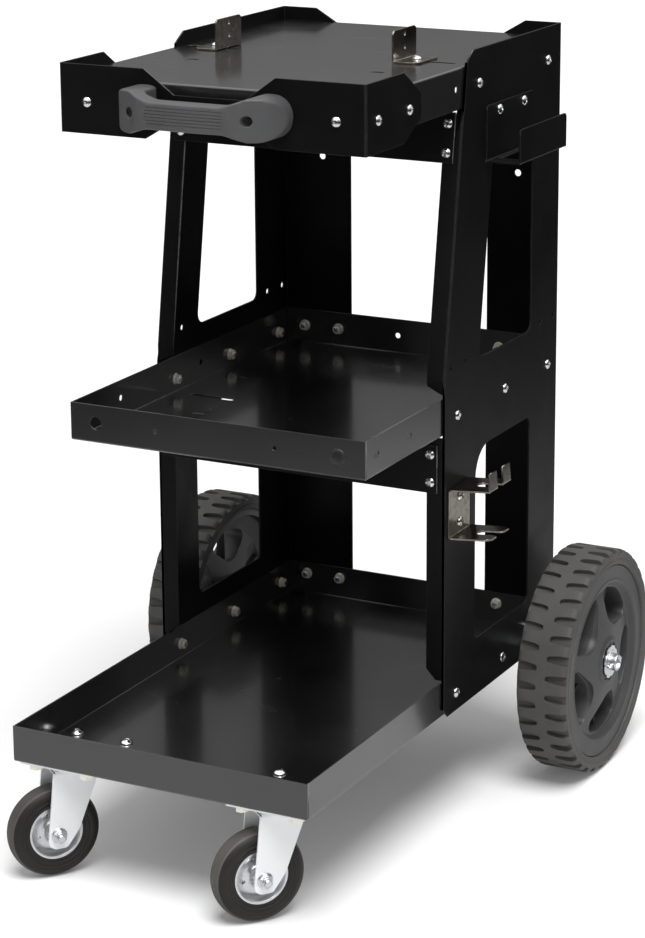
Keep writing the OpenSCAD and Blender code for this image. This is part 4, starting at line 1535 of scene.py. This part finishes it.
        # Each corner: radius, height, how far it is rounded
        corners = [
            (b, -hub, 0.5),
            (21, -hub, 1),
            (24, back - 12, 2),
            (27, back, 3),
            (edge - 10, back, 4),
            (rr - 8, back - 8, 3),
            (rr - 8, 4 - h, 0.8),
            (rr, 4 - h, 0.5),
            (rr, h - 4, 0.6),
            (rr - 1.2, h - 2.6, 0.5),
            (rr - 2.4, h - 3.2, 0.4),
            (edge + 2.2, h - 3.2, 0.6),
            (edge + 0.6, h - 2.7, 0.7),
            (edge - 2.2, h - 3.6, 1.6),
            (edge - 7, front + 1, 3),
            (edge - 12, front, 8),
            (30, hub - 2.2, 6),
            (25, hub, 1.5),
            (b, hub, 0.5),
        ]
        profile = eased([(r, z) for r, z, _ in corners], [ease for _, _, ease in corners], 4)
        return as_object(turned(profile, 150, True), self.label + "_moulded_rim")

    def ribs(self, level: float, half: float) -> Object:
        """Makes one set of ribs inside the windows.

        Args:
            level: The height of their middle.
            half: Half their thickness.

        Returns:
            The ribs, one in each window.
        """
        inner, outer = 34, self.rim_r - self.band - 7
        shape = eased([(inner, -half), (outer, -half), (outer, half), (inner, half)], [0.4] * 4, 2)
        rib = stacked([(shape, level - 1.5), (shape, level + 6.5)])
        place = Matrix.Rotation(math.radians(4 + level), 4, "Z")
        return RINGS.ring(as_object(rib, "rib", place), self.windows, RIM, "window_ribs")

    def rim(self) -> Object:
        """Builds the rim: its turned body, its windows with softened edges, and the ribs inside them.

        Returns:
            The rim in its place.
        """
        turns = [Matrix.Rotation(2 * math.pi / self.windows * k, 4, "Z") for k in range(self.windows)]
        cutters = [*(self.window_cutter(turn) for turn in turns), self.pocket_cutter()]
        body = carve(self.turned_rim(), cutters)
        parts = [body, self.ribs(self.web_back + 2, 1.4), self.ribs(self.web_back + 11, 1.1)]
        body.data.materials.append(RIM.material())
        whole = joined(parts, self.label + "_moulded_rim")
        whole.data.transform(self.frame())
        return smooth(whole, 38)

    def dress(self) -> None:
        """Builds the rim and the tyre and puts them in their nodes' places."""
        put(self.rim(), RIM.material(), [self.label + "_rear_rim"])
        put(self.tyre(), TYRE.material(), [self.label + "_rear_tyre"])
        log.info("%s rear wheel", self.label)


@dataclass(frozen=True)
class RearAxles:
    """Both stub axles with their plates and hub washers.

    Attributes:
        stub_r: Radius of the stub axle.
        hollow_r: Radius of the bore in its end.
        hollow_l: Depth of that bore.
        washer_r: Outer radius of the hub washer.
        washer_t: Its thickness.
        notches: Number of notches round it.
        notch: Depth of a notch.
    """

    stub_r: float = 10.0
    hollow_r: float = 6.6
    hollow_l: float = 16.0
    washer_r: float = 19.2
    washer_t: float = 2.5
    notches: int = 8
    notch: float = 2.2

    def place(self, side: int, x: float) -> Matrix:
        """Gives the frame on the axles' line at a place in metres, with its Z outwards."""
        _, y, z = JOINTS["left_rear_spin"]["pos_m"]
        return axle_frame((x, y, z), (side, 0, 0))

    def stubs(self) -> Object:
        """Copies the stub axles and bores their ends.

        Returns:
            Both stub axles.
        """
        copy = zinc_piece("stub_axles", edge=0.5).build()
        low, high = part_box("stub_axles")
        r, deep = self.hollow_r, -self.hollow_l
        cutters = []
        for side, end in ((-1, low.x), (1, high.x)):
            bore = turned([(0, deep), (r, deep), (r, -0.8), (r + 1.6, 0.8), (0, 0.8)], 40)
            cutters.append(as_object(bore, "stub_bore", self.place(side, end)))
        return smooth(carve(copy, cutters), 35)

    def tooth(self, angle: float) -> float:
        """Gives the toothed washer's radius at an angle."""
        return self.washer_r - self.notch * max(0.0, math.cos(self.notches * angle)) ** 3

    def inset(self, angle: float) -> float:
        """Gives the radius inside its broken edge at an angle."""
        return self.tooth(angle) - 0.5

    def washer(self, side: int) -> Object:
        """Makes a toothed hub washer.

        Args:
            side: -1 for the left one, 1 for the right.

        Returns:
            The washer in its place.
        """
        low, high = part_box("axle_washers")
        inner = (high.x if side > 0 else low.x) - side * self.washer_t * MM
        bore, t = self.stub_r + 0.1, self.washer_t
        stations = [
            (bore, 0),
            (self.inset, 0),
            (self.tooth, 0.4),
            (self.tooth, t - 1.4),
            (self.inset, t - 1.0),
            (13.6, t - 0.8),
            (13.0, t),
            (bore + 0.4, t),
            (bore, t - 0.4),
        ]
        return as_object(turned(stations, 96, True), "hub_washer", self.place(side, inner))

    def dress(self) -> None:
        """Builds the axles and washers and puts them in their nodes' places."""
        put(self.stubs(), BRIGHT_ZINC.material(), ["stub_axles"])
        washers = smooth(joined([self.washer(-1), self.washer(1)], "toothed_hub_washers"), 32)
        put(washers, BRIGHT_ZINC.material(), ["axle_washers"])
        log.info("rear axles")


# Swivel casters


@dataclass(frozen=True)
class SwivelCaster:
    """A caster's turning wheel, its axle bolt and its lock nut.

    Attributes:
        label: Which side it is on, left or right.
        radius: Outer radius of the tyre.
        width: Width of the tyre.
        rim_r: Outer radius of the pressed rim.
        bush_r: Radius of the bush that it turns on.
        axle_r: Radius of the axle bolt.
        outside: Half the fork's outside width.
        tread_t: How deep the tread's rubber shows on the shoulder.
        rivets: Number of rivet holes round the hub.
        rivet_ring: Radius of the circle that they lie on.
    """

    label: str
    radius: float = 50.0
    width: float = 28.0
    rim_r: float = 29.5
    bush_r: float = 6.0
    axle_r: float = 4.0
    outside: float = 20.0
    tread_t: float = 3.2
    rivets: int = 4
    rivet_ring: float = 17.5

    def frame(self) -> Matrix:
        """Gives the wheel's frame, whose Z runs along its axle."""
        joint = JOINTS[self.label + "_caster_spin"]
        return axle_frame(joint["pos_m"], joint["axis"])

    def tyre(self) -> Object:
        """Turns the tyre with its side grooves and its rounded tread.

        Returns:
            The tyre in its place.
        """
        r, h, rr = self.radius, self.width / 2, self.rim_r
        side = [
            (rr, h - 3),
            (rr + 0.6, h - 2.0),
            (rr + 2.4, h - 1.4),
            (rr + 3.0, h - 1.9),
            (rr + 3.8, h - 1.9),
            (rr + 4.4, h - 1.2),
            (rr + 7.2, h - 0.5),
            (rr + 7.8, h - 1.0),
            (rr + 8.6, h - 1.0),
            (rr + 9.2, h - 0.35),
            (rr + 12.0, h - 0.1),
            (r - 6.5, h - 1.1),
            (r - 4.6, h - 2.2),
            (r - 2.6, h - 3.9),
            (r - 1.3, h - 5.8),
            (r - 1.0, h - 6.3),
            (r - 1.7, h - 6.6),
            (r - 1.7, h - 7.3),
            (r - 0.7, h - 7.6),
            (r - 0.35, h - 8.6),
            (r - 1.0, h - 8.9),
            (r - 1.0, h - 9.6),
            (r - 0.15, h - 9.9),
            (r, h - 11.0),
        ]
        profile = [(a, -z) for a, z in side] + [(r, 0)] + [(a, z) for a, z in reversed(side)]
        made = as_object(turned(profile, 96, True), self.label + "_ribbed_tyre")
        made.data.materials.append(CASTER_SIDE.material())
        made.data.materials.append(CASTER_TREAD.material())
        for face in made.data.polygons:
            centre = face.center / MM
            face.material_index = int(math.hypot(centre.x, centre.y) > r - self.tread_t)
        made.data.transform(self.frame())
        return smooth(made, 50)

    def rim(self) -> Object:
        """Turns the pressed rim and pierces the holes round its hub.

        Returns:
            The rim in its place.
        """
        h, rr, b = self.width / 2, self.rim_r, self.bush_r + 0.08
        hub = h + 2.5
        half = [
            (10.2, h + 2.2),
            (10.6, 5.2),
            (12.0, 3.6),
            (17, 2.2),
            (rr - 6, 3.2),
            (rr - 3.6, 5.4),
            (rr - 3.0, h - 3.2),
            (rr - 2.2, h - 2.5),
            (rr, h - 2.6),
        ]
        under, over = [(r, -z) for r, z in half], list(reversed(half))
        profile = [(b, -hub), (9.8, -hub), *under, *over, (9.8, hub), (b, hub)]
        body = as_object(turned(profile, 96, True), self.label + "_pressed_rim")
        cutters = []
        for k in range(self.rivets):
            hole = turned([(0, -12), (2.0, -12), (2.0, 2.2), (2.9, 4.2), (2.9, 12), (0, 12)], 20)
            angle = math.radians(20 + 360 / self.rivets * k)
            spot = Vector((self.rivet_ring * math.cos(angle), self.rivet_ring * math.sin(angle), 0)) * MM
            cutters.append(as_object(hole, "rivet_hole", Matrix.Translation(spot)))
        body = carve(body, cutters)
        body.data.transform(self.frame())
        return smooth(body, 38)

    def bolt(self) -> Object:
        """Makes the axle bolt with its hexagon head.

        Returns:
            The bolt in its place.
        """
        o, r = self.outside, self.axle_r
        stations = [
            (0, -o - 5.2),
            (5.6, -o - 5.2),
            (hexagon(6.4, 6.7), -o - 4.9),
            (hexagon(6.4), -o - 4.3),
            (hexagon(6.4), -o - 1.2),
            (6.2, -o - 1.0),
            (r, -o - 1.0),
            (r, o + 9.2),
            (r * 0.82, o + 10.0),
            (0, o + 10.0),
        ]
        return smooth(as_object(turned(stations, 36), self.label + "_axle_bolt", self.frame()), 32)

    def lock_nut(self) -> Object:
        """Makes the flanged lock nut with its nylon collar.

        Returns:
            The nut in its place.
        """
        r = self.axle_r
        stations = [
            (r + 0.06, 0),
            (8.6, 0),
            (8.8, 0.3),
            (8.8, 0.7),
            (8.2, 1.1),
            (hexagon(6.6, 7.4), 2.0),
            (hexagon(6.6), 2.6),
            (hexagon(6.6), 5.4),
            (hexagon(6.6, 6.7), 6.0),
            (5.8, 6.2),
            (5.6, 7.6),
            (5.0, 8.0),
            (r + 0.4, 8.0),
            (r + 0.06, 7.6),
        ]
        place = self.frame() @ Matrix.Translation((0, 0, self.outside * MM))
        return smooth(as_object(turned(stations, 36, True), self.label + "_lock_nut", place), 32)

    def dress(self) -> None:
        """Builds the wheel and its fixings and puts them in their nodes' places."""
        put(self.tyre(), None, [self.label + "_caster_tyre"])
        for part, make in (("rim", self.rim), ("bolt", self.bolt), ("nut", self.lock_nut)):
            put(make(), BRIGHT_ZINC.material(), [f"{self.label}_caster_{part}"])
        log.info("%s caster wheel", self.label)


# Handle and plug


@dataclass(frozen=True)
class PullHandle:
    """The moulded bow handle with its softened edges, grip lines and screw wells.

    Attributes:
        screw_x: Distance of each screw from the centre line.
        well_r: Radius of the wells over the screws.
        well_in: How deep a well goes, from the grip's front.
        grid: Size of the cells that its skin is rebuilt from.
        soft: How many times the skin is evened out, which rounds the edges.
        lines: Number of fine lines along the grip.
        line_gap: Distance between them.
        line_half: How far the middle ones run from the centre line.
        line_w: Width of a line.
        line_d: Depth of a line.
        set_back: How far the grip's front lies back at the lines' ends.
    """

    screw_x: float = 67.0
    well_r: float = 5.5
    well_in: float = 17.0
    grid: float = 1.1
    soft: int = 14
    lines: int = 6
    line_gap: float = 3.3
    line_half: float = 45.0
    line_w: float = 0.8
    line_d: float = 0.6
    set_back: float = 1.25

    def line_cutters(self, front: float, level: float) -> list[Object]:
        """Makes the thin blocks that cut the lines.

        Args:
            front: Where the grip's front is on the centre line.
            level: The height of the grip's middle.

        Returns:
            One block for each line.
        """
        before, middle = front - 3, front + self.line_d
        end = front + self.set_back + self.line_d
        cutters = []
        for k in range(self.lines):
            off = k - (self.lines - 1) / 2
            half = self.line_half - 3.0 * abs(off) / self.lines
            shape = [(-half, before), (half, before), (half, end), (0, middle), (-half, end)]
            z = level + off * self.line_gap
            block = stacked([(shape, z - self.line_w / 2), (shape, z + self.line_w / 2)])
            cutters.append(as_object(block, "line_cutter"))
        return cutters

    def well_cutter(self, side: int, front: float, level: float) -> Object:
        """Makes the plug that opens the well of one screw.

        Args:
            side: -1 for the left screw, 1 for the right.
            front: Where the grip's front is on the centre line.
            level: The height of the grip's middle.

        Returns:
            The plug.
        """
        ends = (-self.well_in, 12.0)
        well = turned([(0, ends[0]), *((self.well_r, z) for z in ends), (0, ends[1])], 40)
        spot = Matrix.Translation(Vector((side * self.screw_x, front, level)) * MM)
        return as_object(well, "well_cutter", spot @ Matrix.Rotation(math.pi / 2, 4, "X"))

    def build(self) -> Object:
        """Copies the node, softens its edges and cuts its wells and lines.

        Returns:
            The handle.
        """
        low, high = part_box("handle")
        front, level = low.y / MM, (low.z + high.z) / 2 / MM
        made = as_object(whole_mesh(frame["nodes"]["handle"]), "sharp_handle")
        skin = made.modifiers.new("moulded_skin", "REMESH")
        skin.mode, skin.voxel_size = "VOXEL", self.grid * MM
        even = made.modifiers.new("rounded_edges", "SMOOTH")
        even.factor, even.iterations = 0.5, self.soft
        made = plain(made, "bow_handle")
        cutters = [self.well_cutter(side, front, level) for side in (-1, 1)]
        return smooth(carve(made, [*cutters, *self.line_cutters(front, level)]), 40)

    def dress(self) -> None:
        """Builds the handle and puts it in its node's place."""
        put(self.build(), GRIP.material(), ["handle"])
        log.info("bow handle")


@dataclass(frozen=True)
class HolePlug:
    """The push-in plug of the middle tray's front.

    Attributes:
        body_r: Radius of its body.
        flange_r: Radius of its flange.
        flange_t: How far it stands out before the sheet.
    """

    body_r: float = 6.9
    flange_r: float = 9.0
    flange_t: float = 2.2

    def build(self) -> Object:
        """Turns the plug.

        Returns:
            The plug in its place.
        """
        low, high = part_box("blanking_plug")
        face = Vector(((low.x + high.x) / 2, low.y + self.flange_t * MM, (low.z + high.z) / 2))
        b, f = self.body_r, self.flange_r
        stations = [
            (0, -3.5),
            (b - 0.6, -3.5),
            (b, -2.9),
            (b, 0),
            (f, 0),
            (f, 0.5),
            (f - 0.7, 1.2),
            (f - 2.2, 1.6),
            (f - 2.6, 1.4),
            (f - 3.4, 1.6),
            (0, self.flange_t),
        ]
        place = Matrix.Translation(face) @ Matrix.Rotation(math.pi / 2, 4, "X")
        return smooth(as_object(turned(stations, 48), "push_in_plug", place), 35)

    def dress(self) -> None:
        """Builds the plug and puts it in its node's place."""
        put(self.build(), PLUG.material(), ["blanking_plug"])
        log.info("push-in plug")


# Studio


def grey(level: float) -> tuple[float, float, float, float]:
    """Gives a grey as a colour socket takes it."""
    return (level, level, level, 1.0)


@dataclass(frozen=True)
class Studio:
    """The camera, the lights and the floor.

    The cart's black sheet takes its greys from what it mirrors. So gloss sees a floor that is bright near the
    cart and dark beyond, a dark wall round it, and a sky that gets brighter upwards.

    Attributes:
        aim: The point that the camera's numbers start from, in metres.
        azimuth: The camera's turn towards the right side, in degrees.
        height: Its angle above the floor, in degrees.
        roll: Its roll, in degrees.
        aside: How far it is moved to its right and up, in metres.
        distance: Its distance, in metres.
        lens: Its focal length for a 36 mm picture height.
        shift: Its lens shift up, in picture heights.
        sky: Strength of the even light.
        sky_rise: The heights between which the sky that gloss sees gets brighter, 1 straight up.
        sky_gloss: Its strength at those heights.
        sun: Strength of the soft main light.
        sun_from: Where it comes from.
        sun_size: Its width, in degrees.
        floor_tone: The floor's tone.
        floor_lift: What the floor gives off to the camera, to stay white.
        floor_reach: The distances between which the floor that gloss sees gets darker, in metres.
        floor_gloss: Its tone at those distances.
        wall: Radius and height of the round wall that gloss sees, in metres.
        wall_rise: The heights between which the wall gets brighter, in metres.
        wall_gloss: Its strength at those heights.
    """

    aim: tuple[float, float, float] = (0.0, -0.096287, 0.42)
    azimuth: float = 27.6
    height: float = 14.7
    roll: float = -0.4
    aside: tuple[float, float] = (0.0618, 0.0919)
    distance: float = 3.0347
    lens: float = 108.53
    shift: float = -0.1002
    sky: float = 0.4
    sky_rise: tuple[float, float] = (0.15, 0.75)
    sky_gloss: tuple[float, float] = (0.2, 1.3)
    sun: float = 2.7
    sun_from: tuple[float, float, float] = (0.32, -0.45, 1.2)
    sun_size: float = 32.0
    floor_tone: float = 0.95
    floor_lift: float = 0.08
    floor_reach: tuple[float, float] = (0.7, 2.3)
    floor_gloss: tuple[float, float] = (0.66, 0.03)
    wall: tuple[float, float] = (2.6, 1.6)
    wall_rise: tuple[float, float] = (0.45, 1.5)
    wall_gloss: tuple[float, float] = (0.03, 0.2)

    def camera(self) -> None:
        """Sets up the camera at the photographed angle."""
        az, el, roll = map(math.radians, (self.azimuth, self.height, self.roll))
        back = Vector((math.sin(az) * math.cos(el), -math.cos(az) * math.cos(el), math.sin(el)))
        right = Vector((math.cos(az), math.sin(az), 0))
        up = back.cross(right)
        spot = Vector(self.aim) + back * self.distance + right * self.aside[0] + up * self.aside[1]
        across = right * math.cos(roll) + up * math.sin(roll)
        over = up * math.cos(roll) - right * math.sin(roll)
        data = bpy.data.cameras.new("front_camera")
        data.sensor_width, data.lens, data.shift_y = 36.0, self.lens, self.shift
        camera = linked("front_camera", data)
        camera.matrix_world = Matrix.Translation(spot) @ Matrix((across, over, back)).transposed().to_4x4()
        bpy.context.scene.camera = camera

    def sky_light(self) -> None:
        """Sets up the even light, the white background and the sky that gloss sees."""
        world = bpy.data.worlds.new("white_studio")
        world.use_nodes = True
        desk = NodeDesk(world.node_tree)
        shade = desk.tree.nodes["Background"]
        shade.inputs["Color"].default_value = grey(1.0)
        path = desk.add("ShaderNodeLightPath")
        seen = desk.maths("MAXIMUM", path.outputs["Is Camera Ray"], path.outputs["Is Transmission Ray"])
        ray = desk.add("ShaderNodeTexCoord")
        parts = desk.add("ShaderNodeSeparateXYZ", Vector=ray.outputs["Generated"])
        tall = desk.spread(parts.outputs[2], self.sky_rise, self.sky_gloss, True)
        in_gloss = path.outputs["Is Glossy Ray"]
        glossy = desk.maths("MULTIPLY", in_gloss, tall)
        even = desk.maths("MULTIPLY", desk.maths("SUBTRACT", 1.0, in_gloss), self.sky)
        mixed = desk.add("ShaderNodeMix", {"data_type": "FLOAT"})
        desk.feed(mixed, {0: seen, 2: desk.maths("ADD", glossy, even), 3: 1.0})
        desk.feed(shade, {"Strength": mixed.outputs[0]})
        bpy.context.scene.world = world

    def main_light(self) -> None:
        """Hangs the soft main light."""
        data = bpy.data.lights.new("main_light", "SUN")
        data.energy, data.angle = self.sun, math.radians(self.sun_size)
        lamp = linked("main_light", data)
        lamp.matrix_world = Vector(self.sun_from).to_track_quat("Z", "Y").to_matrix().to_4x4()

    def floor(self) -> None:
        """Lays the pale floor, which keeps the cart's shadow."""
        mesh = bmesh.new()
        bmesh.ops.create_grid(mesh, x_segments=8, y_segments=8, size=30.0)
        floor = as_object(mesh, "studio_floor", Matrix.Translation((0, 0, -0.0005)))
        material = bpy.data.materials.new("pale_floor")
        material.use_nodes = True
        desk = NodeDesk(material.node_tree)
        shader = desk.tree.nodes["Principled BSDF"]
        shader.inputs["Roughness"].default_value = 0.7
        shader.inputs["Specular IOR Level"].default_value = 0.2
        path = desk.add("ShaderNodeLightPath")
        away = desk.add("ShaderNodeVectorMath", {"operation": "DISTANCE"})
        desk.feed(away, {0: desk.add("ShaderNodeTexCoord").outputs["Object"], 1: (0.1, 0.0, 0.0)})
        far = desk.spread(away.outputs["Value"], self.floor_reach, soft=True)
        in_gloss = desk.blend(far, *map(grey, self.floor_gloss))
        tone = desk.blend(path.outputs["Is Glossy Ray"], grey(self.floor_tone), in_gloss)
        desk.feed(shader, {"Base Color": tone})
        lift = desk.maths("MULTIPLY", path.outputs["Is Camera Ray"], self.floor_lift)
        both = desk.add("ShaderNodeAddShader")
        glow = desk.add("ShaderNodeEmission", Strength=lift)
        desk.feed(both, {0: shader.outputs[0], 1: glow.outputs[0]})
        desk.feed(desk.tree.nodes["Material Output"], {"Surface": both.outputs[0]})
        floor.data.materials.append(material)

    def backdrop(self) -> None:
        """Stands a round wall that only gloss sees, dark at its foot and grey at its top."""
        radius, top = self.wall
        round_it = [Vector((math.cos(a), math.sin(a), 0)) * radius for a in np.radians(range(0, 360, 5))]
        mesh = net([round_it, [spot + Vector((0, 0, top)) for spot in round_it]], False, True)
        wall = as_object(mesh, "studio_backdrop")
        material = bpy.data.materials.new("backdrop_in_gloss")
        material.use_nodes = True
        material.cycles.emission_sampling = "NONE"
        desk = NodeDesk(material.node_tree)
        place = desk.add("ShaderNodeTexCoord").outputs["Object"]
        parts = desk.add("ShaderNodeSeparateXYZ", Vector=place)
        tone = desk.spread(parts.outputs[2], self.wall_rise, self.wall_gloss, True)
        shown = desk.add("ShaderNodeMixShader")
        clear = desk.add("ShaderNodeBsdfTransparent").outputs[0]
        lit = desk.add("ShaderNodeEmission", Strength=tone).outputs[0]
        path = desk.add("ShaderNodeLightPath")
        desk.feed(shown, {0: path.outputs["Is Glossy Ray"], 1: clear, 2: lit})
        desk.feed(desk.tree.nodes["Material Output"], {"Surface": shown.outputs[0]})
        wall.data.materials.append(material)

    def build(self) -> None:
        """Sets up everything that isn't part of the cart."""
        bpy.context.scene.view_settings.view_transform = "Standard"
        self.camera()
        self.sky_light()
        self.main_light()
        self.floor()
        self.backdrop()
        log.info("studio")


def main() -> None:
    """Builds the studio and the cart's pieces in order."""
    logging.basicConfig(level=logging.INFO, format="%(message)s")
    Studio().build()
    for piece in SHEET_PIECES:
        piece.dress()
    kit = FastenerKit()
    for kind in FASTENER_SETS:
        kit.dress(kind)
    PullHandle().dress()
    HolePlug().dress()
    for side in (-1, 1):
        RearWheel(side).dress()
    RearAxles().dress()
    for label in SIDES:
        SwivelCaster(label).dress()


if __name__ == "__main__":
    main()
